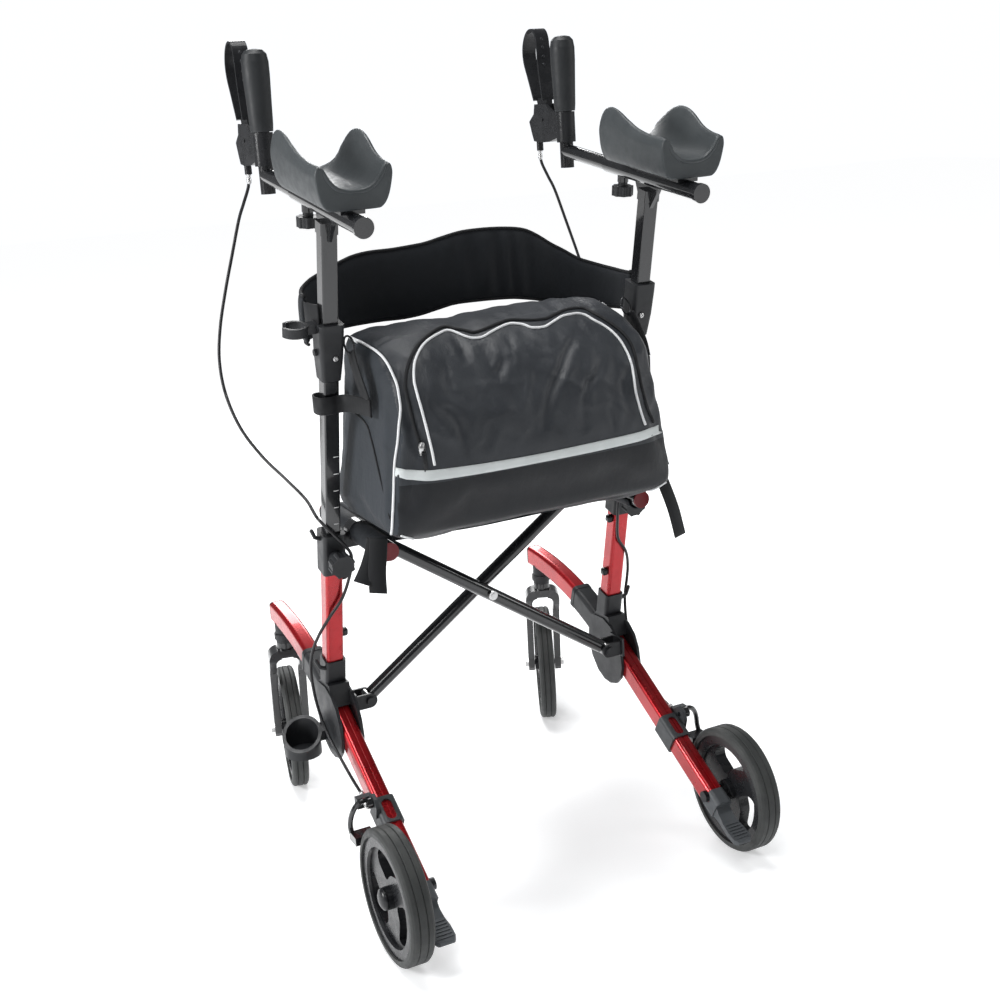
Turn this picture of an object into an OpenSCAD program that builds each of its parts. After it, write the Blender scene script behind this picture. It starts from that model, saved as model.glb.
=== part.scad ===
// Folding upright rollator with forearm supports: two wheeled side frames joined by an
// X brace, a fabric seat with a bag on it, a backrest strap, padded forearm troughs and
// upright grips with loop brake levers. All lengths in millimetres.
// +X is the user's right, +Y the direction of travel, +Z up.
// The origin is on the floor at the centre of the object's outline.

/* [Side frames] */
// Distance from the centre plane to each side frame
frame_x = 257; // [250:0.5:262]
// Outside width of the square lower upright
sleeve_w = 28; // [27.5:0.1:28.5]
// Outside width of the telescopic upright
mast_w = 23; // [22.5:0.1:23.2]
// Backward lean of the uprights, in degrees
lean = 13.3; // [12.8:0.1:13.8]
// Height of the rail line above the floor at the rear axle
leg_z = 95; // [94:0.5:96]
// Width of the leg extrusion
leg_w = 28; // [27.5:0.1:28.5]
// Depth of the leg extrusion
leg_h = 36; // [35:0.1:37]

/* [Wheels] */
// Radius of the rear wheels
rear_r = 101.5; // [100:0.5:103]
// Width of the rear tyres
rear_w = 37; // [34:0.5:38]
// Radius of the front wheels
front_r = 110; // [108:0.5:111]
// Width of the front tyres
front_w = 30; // [26:0.5:31]
// Trail of the front casters
trail = 60; // [58:0.5:62]
// Direction in which the right caster stands at rest, degrees clockwise seen from above
swivel = 25; // [20:1:30]
// Direction in which the left caster stands at rest
left_swivel = 12; // [8:1:20]

/* [Handles] */
// Outside diameter of the forearm bars
bar_d = 25.4; // [25:0.1:26]
// Diameter of the handle tubes that slide in the bars
tube_d = 22; // [21.8:0.05:22]
// Upward slope of the forearm bars, in degrees
bar_slope = 8.57; // [8:0.1:9]
// Width of the forearm pads
pad_w = 112; // [104:1:114]

/* [Seat and bag] */
// Height of the seat rails' centres
rail_z = 574; // [573:0.5:575]
// Distance from the centre plane to each seat rail
rail_x = 214; // [213:0.5:215]
// Width of the bag
bag_w = 448; // [420:1:450]

/* [Quality] */
// Facets of a full circle
$fn = 48; // [32:4:96]

/* [Hidden] */
LEG_TILT = 30;
BEND_Y = 300;                                  // the leg runs into the curved front tube here
BEND_R = 600;
BEND_Z = leg_z + BEND_Y * tan(LEG_TILT);
BEND_CY = BEND_Y + BEND_R * sin(LEG_TILT);
BEND_CZ = BEND_Z - BEND_R * cos(LEG_TILT);
FRONT_END_Y = 585;
FRONT_END_A = asin((BEND_CY - FRONT_END_Y) / BEND_R);
SOCKET_END_A = 18.2;
MAST_Y = 302;                                  // foot of the upright's axis, at the housing's rim
MAST_Z = 358;
SLEEVE_TOP = 178;                              // distances along the upright from its foot
COLLAR_LOW = 162;
COLLAR_TOP = 230;
HEIGHT_KNOB_T = 194;
BRACKET_LOW = 480;
BRACKET_TOP = 565;
MAST_LOW = 15;
MAST_TOP = 709;
AXLE_R = 6;
TRACK_X = 296;                                 // centre plane of each rear wheel
STEM_Y = 562;
STEM_R = 8;
FORK_GAP = front_w / 2 + 5;
FORK_T = 12;
FORK_TOP = 288;
PIVOT_X = 210;                                 // lower pivots of the X brace
PIVOT_Z = 280;
FRONT_BRACE_Y = 292;
REAR_BRACE_Y = 250;
BRACE_ANGLE = atan((rail_z - PIVOT_Z) / (PIVOT_X + rail_x));
BRACE_LEN = (PIVOT_X + rail_x) / cos(BRACE_ANGLE);
CROSS_AT = PIVOT_X / cos(BRACE_ANGLE);         // distance of the centre bolt from a lower pivot
BRACE_R = 11;
EYE_W = 23.6;
PIN_R = 4;
RUN = 0.08;                                    // radial clearance of a running fit
RAIL_R = 14;
RAIL_REAR = 122;
RAIL_FRONT = 384;
BAR_Y = 6.7;                                   // rear end of the forearm bar's axis
BAR_Z = 1047.4;
BAR_LEN = 249;
REACH_KNOB_Y = 205;
POST_Y = 385;
POST_LOW = 1077;
POST_TOP = 1266;
GRIP_LOW = 1167;
GRIP_TOP = 1284;
LEVER_Y = 445;                                 // lever pivot
LEVER_Z = 1155;
LEVER_BAND = 24;
BRAKE_Y = 118;                                 // brake arm pivot
BRAKE_Z = 191;
CABLE_R = 2.5;
function caster_reach(a) = STEM_Y + (trail + front_r) * cos(a) + (front_w / 2 - 5) * sin(a);
REST_FRONT = max(caster_reach(swivel), caster_reach(left_swivel));
MID_Y = (REST_FRONT - rear_r) / 2;             // centre of the outline, from the rear axle

RED = "#c8161e";
BLACK = "#17181a";
GREY = "#55585c";
RUBBER = "#2e3032";

// Cable from the brake lever, bowed outwards past the upright, behind the collar, over the
// rear of the lower upright, down the housing's outer side and along the leg to the brake.
CABLE_ROUTE = [[257, 477, 1103], [259, 479, 1085], [270, 478, 1060], [281, 476, 1036],
               [298, 474, 985], [316, 472, 930], [332, 468, 875], [342, 458, 825],
               [343, 440, 775], [334, 410, 725], [315, 372, 683], [293, 325, 650],
               [281, 280, 628], [277, 246, 606], [262, 224, 584], [246, 220, 562],
               [236, 227, 543], [238, 236, 512], [248, 254, 470], [268, 264, 440], [282, 282, 408],
               [290, 300, 375], [292, 312, 340], [291, 310, 300], [288, 296, 262],
               [284, 270, 232], [281, 235, 212], [280, 200, 198], [280, 168, 190],
               [280, 148, 186]];

// Side of the loop lever, front band first, in the Y-Z plane.
LEVER_LOOP = [[469, 1186], [477, 1204], [487, 1226], [497, 1248], [499, 1268], [492, 1286],
              [479, 1297], [464, 1298], [454, 1288], [450, 1268], [449, 1243], [445, 1215],
              [439, 1186]];

// ---- places ----

// Everything is drawn from the rear axle forwards, then centred on the origin.
module centred() translate([0, -MID_Y, 0]) children();
module right() centred() children();
module left() centred() mirror([1, 0, 0]) children();

// Local Z runs up the upright from its foot.
module on_mast() translate([frame_x, MAST_Y, MAST_Z]) rotate([lean, 0, 0]) children();

// Local Y runs up the leg from the rear axle.
module on_leg() translate([frame_x, 0, leg_z]) rotate([LEG_TILT, 0, 0]) children();

// Local Y runs forward along the forearm bar.
module on_bar() translate([frame_x, BAR_Y, BAR_Z]) rotate([bar_slope, 0, 0]) children();

// The 2D profile is swept about the front tube's centre of bend, from angle a to angle b,
// both measured backwards from its highest point. Profile X is the radius, Y the width.
module on_bend(a, b) translate([frame_x, BEND_CY, BEND_CZ]) rotate([180, -90, 0])
    rotate([0, 0, a]) rotate_extrude(angle = b - a, $fn = 240) children();

// Local Y runs along the caster's trail.
module on_caster(side) centred() translate([side * frame_x, STEM_Y, 0])
    rotate([0, 0, side < 0 ? -left_swivel : -swivel]) children();

// ---- shapes ----

module rounded(w, h, r) {
    square([w - 2 * r, h], center = true);
    square([w, h - 2 * r], center = true);
    for (x = [-1, 1], y = [-1, 1])
        translate([x * (w / 2 - r), y * (h / 2 - r)]) circle(r, $fn = 24);
}
module rod_x(r, x0, x1) translate([x0, 0, 0]) rotate([0, 90, 0]) cylinder(r = r, h = x1 - x0);
module rod_y(r, y0, y1) translate([0, y0, 0]) rotate([-90, 0, 0]) cylinder(r = r, h = y1 - y0);
module rod_z(r, z0, z1) translate([0, 0, z0]) cylinder(r = r, h = z1 - z0);

// A Y-Z outline given thickness along X.
module plate_yz(points, x0, x1) translate([x0, 0, 0]) rotate([90, 0, 90])
    linear_extrude(x1 - x0) polygon(points);

function catmull(a, b, c, d, t) = 0.5 * (2 * b + (c - a) * t + (2 * a - 5 * b + 4 * c - d) * t * t
    + (3 * b - a - 3 * c + d) * t * t * t);
function clamp_at(p, i) = p[max(0, min(len(p) - 1, i))];
function smooth(p, steps) = [for (i = [0 : len(p) - 2], k = [0 : steps - 1])
    catmull(clamp_at(p, i - 1), p[i], p[i + 1], clamp_at(p, i + 2), k / steps), p[len(p) - 1]];
function unit(v) = v / norm(v);
function heading(p, i) = unit(clamp_at(p, i + 1) - clamp_at(p, i - 1));
function side_2d(p, i, w) = let (h = heading(p, i)) p[i] + w * [-h[1], h[0]];
// Outline of a band of thickness 2w along a path.
function band(p, w) = concat([for (i = [0 : len(p) - 1]) side_2d(p, i, w)],
    [for (i = [len(p) - 1 : -1 : 0]) side_2d(p, i, -w)]);

// A tube of one radius along a path, as one closed polyhedron.
module sweep(path, r, sides) {
    rings = [for (i = [0 : len(path) - 1])
        let (h = heading(path, i), u = unit(cross(h, [0.3, 1, 0.1])), v = cross(h, u))
        for (k = [0 : sides - 1])
            path[i] + r * (cos(360 * k / sides) * u + sin(360 * k / sides) * v)];
    n = len(path);
    walls = [for (i = [0 : n - 2], k = [0 : sides - 1])
        let (m = (k + 1) % sides)
        [i * sides + k, (i + 1) * sides + k, (i + 1) * sides + m, i * sides + m]];
    ends = [[for (k = [0 : sides - 1]) k],
            [for (k = [sides - 1 : -1 : 0]) (n - 1) * sides + k]];
    polyhedron(rings, concat(walls, ends));
}

// ---- lower frame ----

module leg_tube() color(RED) difference() {
    on_leg() rotate([-90, 0, 0]) translate([0, 0, -12])
        linear_extrude(11 + BEND_Y / cos(LEG_TILT)) difference() {
            rounded(leg_w, leg_h, 7);
            rounded(leg_w - 4.4, leg_h - 4.4, 5);
            translate([0, -leg_h / 2]) square([3.2, 2], center = true);
        }
    translate([0, 0, rear_r]) rod_x(AXLE_R + 0.02, frame_x - 30, frame_x + 30);
}

module front_tube() color(RED) {
    difference() {
        union() {
            on_bend(LEG_TILT - 0.1, FRONT_END_A) translate([BEND_R, 0]) difference() {
                rounded(leg_h, leg_w, 7);
                rounded(leg_h - 4.4, leg_w - 4.4, 5);
            }
        }
        translate([frame_x, STEM_Y, 0]) rod_z(STEM_R + RUN, 290, 345);
    }
}

module end_caps() {
    color(BLACK) on_bend(FRONT_END_A - 0.03, FRONT_END_A - 0.4) translate([BEND_R, 0])
        rounded(leg_h - 1, leg_w - 1, 6);
    color(BLACK) head_tube();
    color(BLACK) difference() {
        union() {
            on_leg() rotate([-90, 0, 0]) translate([0, 0, -24]) linear_extrude(28)
                rounded(leg_w + 2, leg_h + 2, 8);
            foot_pedal();
        }
        on_leg() rotate([-90, 0, 0]) translate([0, 0, -12.1]) linear_extrude(40)
            rounded(leg_w + 0.1, leg_h + 0.1, 7.05);
        translate([0, 0, rear_r]) rod_x(12, frame_x, frame_x + 40);
        translate([0, 0, rear_r]) rod_x(9.6, frame_x - 40, frame_x);
    }
}

// The caster's bearing under the front tube.
module head_tube() difference() {
    translate([frame_x, STEM_Y, 0]) {
        rod_z(15, 300, 335);
        rod_z(17.5, 306, 316);
    }
    on_bend(LEG_TILT, FRONT_END_A - 2) translate([BEND_R, 0])
        rounded(leg_h + 0.1, leg_w + 0.1, 7.05);
    translate([frame_x, STEM_Y, 0]) rod_z(STEM_R + RUN, 290, 345);
}

// The tongue that a helper treads on, ribbed on top, in one piece with the end plug.
PEDAL_SIDE = [[-8, 100], [-14, 104], [-24, 92], [-31, 82], [-44, 72], [-82, 58], [-84, 53],
              [-80, 51], [-44, 62], [-28, 68], [-16, 73]];
module foot_pedal() {
    intersection() {
        plate_yz(PEDAL_SIDE, frame_x - 20, frame_x + 20);
        linear_extrude(200) polygon([[frame_x - 13, 10], [frame_x - 13, -34],
            [frame_x - 17, -60], [frame_x - 17, -76], [frame_x - 12, -83],
            [frame_x + 10, -83], [frame_x + 15, -76], [frame_x + 15, -60],
            [frame_x + 12, -34], [frame_x + 12, 10]]);
    }
    for (i = [0 : 5]) translate([frame_x - 13, -77 + i * 5.5, 59.6 + i * 2.03])
        rotate([20, 0, 0]) cube([24, 2, 1.6]);
}

EAR = [[347, 300], [334, 310], [300, 312], [276, 304], [256, 288], [245, 266], [241, 240],
       [247, 218], [262, 203], [282, 197], [302, 198], [323, 208], [342, 230], [352, 262]];

module joint_housing() color(BLACK) {
    difference() {
        union() {
            on_mast() translate([0, 0, -60]) linear_extrude(61) rounded(34, 34, 6);
            on_bend(LEG_TILT - 0.5, SOCKET_END_A) translate([BEND_R, 0]) rounded(43, 35, 8);
            on_bend(SOCKET_END_A + 0.8, SOCKET_END_A) translate([BEND_R, 0]) rounded(44.4, 36.4, 8.5);
            plate_yz(EAR, frame_x + leg_w / 2 + 0.3, frame_x + leg_w / 2 + 5.3);
            plate_yz(EAR, frame_x - leg_w / 2 - 5.3, frame_x - leg_w / 2 - 0.3);
            plate_yz([[278, 282], [340, 262], [352, 300], [322, 318], [284, 318]],
                     frame_x - 17, frame_x + 17);
            translate([frame_x, 293, 348]) cable_hook();
        }
        on_leg() rotate([-90, 0, 0]) linear_extrude(BEND_Y / cos(LEG_TILT))
            rounded(leg_w + 0.4, leg_h + 0.4, 7.2);
        on_bend(LEG_TILT + 1, SOCKET_END_A - 1) translate([BEND_R, 0])
            rounded(leg_h + 0.9, leg_w + 0.9, 7.4);
        on_mast() translate([0, 0, -54]) linear_extrude(60)
            rounded(sleeve_w + 0.3, sleeve_w + 0.3, 5);
    }
}

// Open hook on the outer side that keeps the cable near the frame, its root 14 mm out.
module cable_hook() {
    hull() {
        translate([15, 0, -3]) sphere(3.4, $fn = 16);
        translate([26, 0, 2]) sphere(3, $fn = 16);
    }
    hull() {
        translate([26, 0, 2]) sphere(3, $fn = 16);
        translate([31, 0, 14]) sphere(3.2, $fn = 16);
    }
}

// Welded fork that carries a lower pivot of the X brace, with its pin.
module brace_bracket(y) color(BLACK) {
    inner = EYE_W / 2 + 0.4;
    x_plate = frame_x - leg_w / 2 - 5.5;
    difference() {
        union() {
            translate([x_plate - 4, y - inner - 8, PIVOT_Z - 15]) cube([4, 2 * inner + 16, 32]);
            for (s = [-1, 1]) translate([0, y + s * (inner + 2), 0]) {
                translate([PIVOT_X, 0, PIVOT_Z]) rod_y(12, -2, 2);
                translate([PIVOT_X, -2, PIVOT_Z - 12]) cube([x_plate - PIVOT_X - 1, 4, 24]);
            }
        }
        translate([PIVOT_X, y, PIVOT_Z]) rod_y(PIN_R + 0.02, -40, 40);
    }
    translate([PIVOT_X, y, PIVOT_Z]) {
        rod_y(PIN_R, -inner - 8, inner + 8);
        rod_y(7, inner + 4.05, inner + 9);
        rod_y(7, -inner - 9, -inner - 4.05);
    }
}

// The two sides differ only in where the brace pivots.
module housing_at(brace_y) {
    joint_housing();
    brace_bracket(brace_y);
}

module lower_upright() color(RED) on_mast() translate([0, 0, -53.5])
    linear_extrude(SLEEVE_TOP + 53.5) difference() {
        rounded(sleeve_w, sleeve_w, 5);
        rounded(mast_w + 0.5, mast_w + 0.5, 2.2);
    }

module height_collar() color(BLACK) {
    difference() {
        on_mast() {
            translate([0, 0, COLLAR_LOW]) linear_extrude(COLLAR_TOP - COLLAR_LOW)
                rounded(36, 36, 6);
            translate([0, 0, HEIGHT_KNOB_T]) rod_y(11, -30, -10);
            translate([0, 0, COLLAR_TOP - 8]) cable_hook();
        }
        on_mast() translate([0, 0, COLLAR_LOW - 1]) linear_extrude(SLEEVE_TOP - COLLAR_LOW + 1.2)
            rounded(sleeve_w + 0.3, sleeve_w + 0.3, 5);
        on_mast() translate([0, 0, COLLAR_LOW]) linear_extrude(80)
            rounded(mast_w + 0.5, mast_w + 0.5, 2.2);
        on_mast() translate([0, 0, HEIGHT_KNOB_T]) rod_y(PIN_R + RUN, -40, 0);
    }
    rail_cradle();
}

// The saddle on which an open seat rail rests.
module rail_cradle() difference() {
    translate([rail_x - 15, 262, 546]) cube([frame_x - 17 - rail_x + 15, 12, 26]);
    translate([rail_x, 0, rail_z]) rod_y(RAIL_R + 0.4, 200, 300);
}

module knob(r, h) {
    cylinder(r = r, h = h);
    for (i = [0 : 7]) rotate([0, 0, i * 45 + 22.5]) translate([0.91 * r, 0, 0])
        cylinder(r = 0.21 * r, h = h);
}

module height_knob() color(BLACK) on_mast() translate([0, 0, HEIGHT_KNOB_T]) {
    rod_y(PIN_R, -40, -mast_w / 2 - 0.2);
    rotate([90, 0, 0]) translate([0, 0, 31]) cylinder(r = 9, h = 5);
    rotate([90, 0, 0]) translate([0, 0, 36]) knob(17.5, 16);
}

// ---- upright and forearm support ----

module upright() color(BLACK) on_mast() translate([0, 0, MAST_LOW])
    linear_extrude(MAST_TOP - MAST_LOW) difference() {
        rounded(mast_w, mast_w, 2.2);
        rounded(mast_w - 3.6, mast_w - 3.6, 1.5);
    }

module strap_bracket() color(BLACK) on_mast() {
    difference() {
        hull() {
            translate([0, 0, BRACKET_TOP - 12]) linear_extrude(12) rounded(37, 37, 6);
            translate([0, 0, BRACKET_TOP - 50]) linear_extrude(2) rounded(35, 35, 6);
            translate([0, 0, BRACKET_LOW]) linear_extrude(2) rounded(29, 29, 5);
        }
        translate([0, 0, BRACKET_LOW - 1]) linear_extrude(100)
            rounded(mast_w + 0.3, mast_w + 0.3, 2.2);
    }
    translate([0, 0, BRACKET_LOW + 42]) rod_x(5, 17.8, 22);
}

module arm_bar() color(BLACK) {
    on_bar() {
        difference() {
            union() {
                rod_y(bar_d / 2, 0, BAR_LEN);
                translate([0, REACH_KNOB_Y, 0]) rod_z(8.5, -20, -8);
                translate([-17, 30, 10]) cube([34, 130, 5.6]);
            }
            rod_y(tube_d / 2 + 0.08, 14, BAR_LEN + 1);
            translate([0, REACH_KNOB_Y, 0]) rod_z(PIN_R + RUN, -30, 0);
        }
        rod_y(14, -7, -0.05);
    }
    mast_head();
}

// Gusset and cap that join the upright to the bar.
module mast_head() difference() {
    union() {
        on_mast() translate([0, 0, MAST_TOP - 16]) linear_extrude(17)
            rounded(25.8, 25.8, 3);
        plate_yz([[106, 1052], [112, 1044], [134, 1020], [160, 1026], [172, 1061], [165, 1064]],
                 frame_x - 3, frame_x + 3);
    }
    on_mast() translate([0, 0, MAST_TOP - 40]) linear_extrude(40.2)
        rounded(mast_w + 0.3, mast_w + 0.3, 2.2);
    on_bar() rod_y(bar_d / 2 + 0.05, -10, BAR_LEN);
}

PAD_SECTION = [[0, 40], [14, 46], [26, 60], [37, 84], [43, 94], [48, 96.5], [53, 93],
               [pad_w / 2, 82], [pad_w / 2 - 1, 58], [47, 32], [36, 20], [26, 16.2]];
PAD_SIDE = [[20, 16.2], [20, 60], [27, 71], [60, 78], [105, 91], [135, 97], [160, 94],
            [182, 82], [192, 66], [192, 30], [180, 16.2]];

module arm_pad() color(GREY) on_bar() intersection() {
    translate([0, 196, 0]) rotate([90, 0, 0]) linear_extrude(180)
        polygon(concat(PAD_SECTION, [for (i = [len(PAD_SECTION) - 1 : -1 : 1])
            [-PAD_SECTION[i][0], PAD_SECTION[i][1]]]));
    plate_yz(PAD_SIDE, -60, 60);
}

module handle_tube() color(BLACK) difference() {
    union() {
        on_bar() rod_y(tube_d / 2, 120, (POST_Y - BAR_Y) / cos(bar_slope));
        translate([frame_x, POST_Y, 0]) rod_z(tube_d / 2, POST_LOW, POST_TOP);
    }
    on_bar() rod_y(tube_d / 2 - 1.8, 119, (POST_Y - BAR_Y) / cos(bar_slope) - 9);
    translate([frame_x, POST_Y, 0]) rod_z(tube_d / 2 - 1.8, POST_LOW + 3, POST_TOP - 3);
}

module reach_knob() color(BLACK) on_bar() translate([0, REACH_KNOB_Y, 0]) rotate([180, 0, 0]) {
    rod_z(PIN_R, tube_d / 2 + 0.2, 24);
    rod_z(7.4, 20.5, 26);
    translate([0, 0, 26]) knob(15, 15);
}

module grip() color(RUBBER) translate([frame_x, POST_Y, 0]) difference() {
    rotate_extrude() polygon([[0, GRIP_LOW], [16.5, GRIP_LOW], [17.5, GRIP_LOW + 10],
        [18.5, GRIP_LOW + 40], [20, GRIP_LOW + 80], [20, GRIP_TOP - 18], [18, GRIP_TOP - 7],
        [13, GRIP_TOP - 1.5], [7, GRIP_TOP], [0, GRIP_TOP]]);
    rod_z(tube_d / 2 + 0.05, GRIP_LOW - 1, POST_TOP + 0.3);
}

// ---- brakes ----

CHEEK = [[393, 1126], [393, 1166], [407, 1166], [434, 1180], [471, 1180], [475, 1164], [492, 1152],
         [484, 1132], [478, 1120], [462, 1118], [444, 1118], [424, 1119]];

module brake_bracket() color(BLACK) {
    difference() {
        union() {
            translate([frame_x, POST_Y, 0]) rod_z(15.5, 1118, 1166);
            plate_yz(CHEEK, frame_x - 10.5, frame_x + 10.5);
            translate([frame_x, 477, 0]) rod_z(5.6, 1104, 1135);
        }
        translate([frame_x, POST_Y, 0]) rod_z(tube_d / 2 + 0.05, 1100, 1170);
        translate([frame_x - 6, 408, 1122]) cube([12, 90, 70]);
        translate([frame_x, LEVER_Y, LEVER_Z]) rod_x(3.02, -20, 20);
        translate([frame_x, 477, 0]) rod_z(CABLE_R + 0.1, 1100, 1130);
    }
    translate([frame_x, LEVER_Y, LEVER_Z]) rod_x(3, -12, 12);
}

LEVER_ROOT = [[437, 1148], [445, 1144], [454, 1148], [466, 1172], [471, 1190], [437, 1190],
              [435, 1170]];

module brake_lever() color(BLACK) difference() {
    union() {
        plate_yz(band(smooth(LEVER_LOOP, 4), 1.8), frame_x - LEVER_BAND / 2,
                 frame_x + LEVER_BAND / 2);
        plate_yz(LEVER_ROOT, frame_x - 5.6, frame_x + 5.6);
    }
    translate([frame_x, LEVER_Y, LEVER_Z]) rod_x(3 + RUN, -20, 20);
}

module brake_cable() color(BLACK) sweep(smooth(CABLE_ROUTE, 2), CABLE_R, 8);

module brake_mount() color(GREY) difference() {
    union() {
        on_leg() rotate([-90, 0, 0]) translate([0, 0, 112]) linear_extrude(46)
            rounded(leg_w + 7, leg_h + 7, 9);
        translate([frame_x + 15, 132, 178]) cube([25, 12, 17]);
        plate_yz([[108, 168], [103, 186], [108, 199], [122, 203], [134, 195], [144, 178]],
                 frame_x + 15, frame_x + 21);
    }
    on_leg() rotate([-90, 0, 0]) translate([0, 0, 100]) linear_extrude(70)
        rounded(leg_w + 0.3, leg_h + 0.3, 7.1);
    on_leg() hull() for (y = [124, 144]) translate([0, y, 10]) cylinder(r = 8, h = 20, $fn = 24);
    translate([280, 0, 186]) rod_y(CABLE_R + 0.2, 120, 150);
    translate([frame_x, BRAKE_Y, BRAKE_Z]) rod_x(PIN_R + RUN, 10, 40);
}

// Bell-crank that draws its shoe back against the front of the tyre's tread.
ARM_PATH = [[280, 119, 193], [292, 120, 197], [303, 122, 190], [310, 125, 176], [313, 127, 160],
            [313, 123, 148]];
module brake_arm() color(BLACK) {
    translate([0, BRAKE_Y, BRAKE_Z]) rod_x(PIN_R, frame_x + 15, frame_x + 24);
    translate([0, BRAKE_Y, BRAKE_Z]) rod_x(8, frame_x + 21.5, frame_x + 31);
    sweep(smooth(ARM_PATH, 4), 4.2, 10);
    difference() {
        translate([TRACK_X - 12, 98, 138]) cube([32.5, 28, 13]);
        translate([TRACK_X, 0, rear_r]) rod_x(rear_r + 3.6, -60, 60);
        translate([TRACK_X - 13, 126, 137]) rotate([12, 0, 0]) cube([40, 20, 30]);
    }
}

// ---- wheels ----

// One window of a rim, as fractions of its radius and degrees.
WINDOW = [[0.34, 22], [0.5, 5], [0.7, 0], [0.88, 8], [0.95, 26], [0.96, 48], [0.93, 68],
          [0.83, 78], [0.68, 70], [0.52, 52]];
function window(r) = let (n = len(WINDOW),
    q = [for (k = [0 : n + 2]) let (w = WINDOW[k % n]) r * w[0] * [cos(w[1]), sin(w[1])]])
    [for (i = [1 : n], k = [0 : 3])
        catmull(q[i - 1], q[i], q[(i + 1) % (n + 3)], q[(i + 2) % (n + 3)], k / 4)];

// A rim with a hub and three windows between its swept spokes about X, bored through.
module rim(outer, width, bore, hub_r, hub_w) rotate([0, 90, 0]) difference() {
    union() {
        rotate_extrude($fn = 96) polygon([[outer - 17, -width / 2 + 4], [outer - 15, -width / 2],
            [outer, -width / 2], [outer, width / 2], [outer - 15, width / 2],
            [outer - 17, width / 2 - 4]]);
        rod_z(hub_r, -hub_w / 2, hub_w / 2);
        translate([0, 0, -width / 2 + 6]) linear_extrude(width - 12) difference() {
            circle(outer - 14);
            for (i = [0 : 2]) rotate([0, 0, 120 * i + 20]) polygon(window(outer - 14));
        }
    }
    rod_z(bore, -hub_w, hub_w);
}

module tyre(outer, inner, width, groove) rotate([0, 90, 0]) rotate_extrude($fn = 96)
    polygon(concat([[inner, -width / 2], [outer - 6, -width / 2], [outer - 2, -width / 2 + 2],
        [outer, -width / 2 + 5]],
        [for (g = [-1, 1]) for (k = [[-1.2, 0], [0, -groove], [1.2, 0]])
            [outer + k[1], g * width / 6 + k[0]]],
        [[outer, width / 2 - 5], [outer - 2, width / 2 - 2], [outer - 6, width / 2],
         [inner, width / 2]]));

module rear_rim() color(BLACK) translate([TRACK_X, 0, rear_r])
    rim(rear_r - 12, rear_w - 6, AXLE_R + RUN, 17, rear_w - 2);
module rear_tyre() color(RUBBER) translate([TRACK_X, 0, rear_r])
    tyre(rear_r, rear_r - 11.9, rear_w, 1.5);

module rear_axle() color("silver") translate([0, 0, rear_r]) {
    rod_x(AXLE_R, frame_x - 19, TRACK_X + rear_w / 2 + 0.4);
    difference() {
        rod_x(11, frame_x + leg_w / 2 + 0.4, TRACK_X - rear_w / 2 + 0.6);
        rod_x(AXLE_R + 0.02, frame_x, TRACK_X);
    }
    difference() {
        rod_x(9, frame_x - 21, frame_x - leg_w / 2 - 0.3);
        rod_x(AXLE_R + 0.02, frame_x - 19.01, frame_x);
    }
}

// Side and front outlines of the fork: straight legs under an arched crown.
FORK_SIDE = [[-18, FORK_TOP + 1], [18, FORK_TOP + 1], [25, 268], [38, 236], [trail + 13, 128],
             [trail + 13, 104], [trail + 7, 96], [trail - 7, 96], [trail - 13, 104],
             [trail - 13, 124], [10, 236], [-10, 256], [-18, 268]];
module fork_front() difference() {
    union() {
        translate([0, 90 + (FORK_TOP - 108) / 2])
            square([2 * (FORK_GAP + FORK_T), FORK_TOP - 108], center = true);
        translate([0, FORK_TOP - 10]) square([2 * (FORK_GAP + FORK_T) - 36, 20], center = true);
        for (s = [-1, 1]) translate([s * (FORK_GAP + FORK_T - 18), FORK_TOP - 18]) circle(18);
    }
    translate([0, 80 + (FORK_TOP - 106) / 2])
        square([2 * FORK_GAP, FORK_TOP - 106], center = true);
    translate([0, FORK_TOP - 24]) square([2 * FORK_GAP - 20, 20], center = true);
    for (s = [-1, 1]) translate([s * (FORK_GAP - 10), FORK_TOP - 26]) circle(10);
}

module caster_fork() {
    color(BLACK) difference() {
        union() {
            rod_z(15, FORK_TOP - 8, 299.6);
            rod_z(STEM_R, FORK_TOP - 10, 342);
            intersection() {
                translate([0, 130, 0]) rotate([90, 0, 0]) linear_extrude(200) fork_front();
                plate_yz(FORK_SIDE, -60, 60);
            }
        }
        translate([0, trail, front_r]) rod_x(5.02, -60, 60);
    }
    color("silver") translate([0, trail, front_r]) {
        rod_x(5, -FORK_GAP - FORK_T - 6, FORK_GAP + FORK_T + 6);
        for (s = [-1, 1]) translate([s * (FORK_GAP + FORK_T + 3.05), 0, 0])
            rotate([0, 90, 0]) cylinder(r = 8.5, h = 6, center = true, $fn = 6);
    }
}

module front_rim() color(BLACK) translate([0, trail, front_r])
    rim(front_r - 12, front_w - 6, 5 + RUN, 15, 2 * FORK_GAP - 2);
module front_tyre() color(RUBBER) translate([0, trail, front_r])
    tyre(front_r, front_r - 11.9, front_w, 1.5);

// ---- X brace and seat ----

// A tube from its lower pivot eye to the eye round the far seat rail. side = 1 rises to the
// right, -1 to the left.
module brace(side, y) color(BLACK) translate([-side * PIVOT_X, y, PIVOT_Z])
    mirror([side < 0 ? 1 : 0, 0, 0]) rotate([0, -BRACE_ANGLE, 0]) difference() {
        union() {
            difference() {
                rod_x(BRACE_R, 10, BRACE_LEN - 16);
                rod_x(BRACE_R - 2, 24, BRACE_LEN - 40);
            }
            rod_y(11, -EYE_W / 2, EYE_W / 2);
            translate([BRACE_LEN, 0, 0]) rod_y(18.5, -EYE_W / 2, EYE_W / 2);
            translate([CROSS_AT, 0, 0]) rod_y(8, -BRACE_R, BRACE_R);
        }
        rod_y(PIN_R + RUN, -20, 20);
        translate([CROSS_AT, 0, 0]) rod_y(PIN_R + RUN, -20, 20);
        translate([BRACE_LEN, 0, 0]) rod_y(RAIL_R + RUN, -20, 20);
    }

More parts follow.
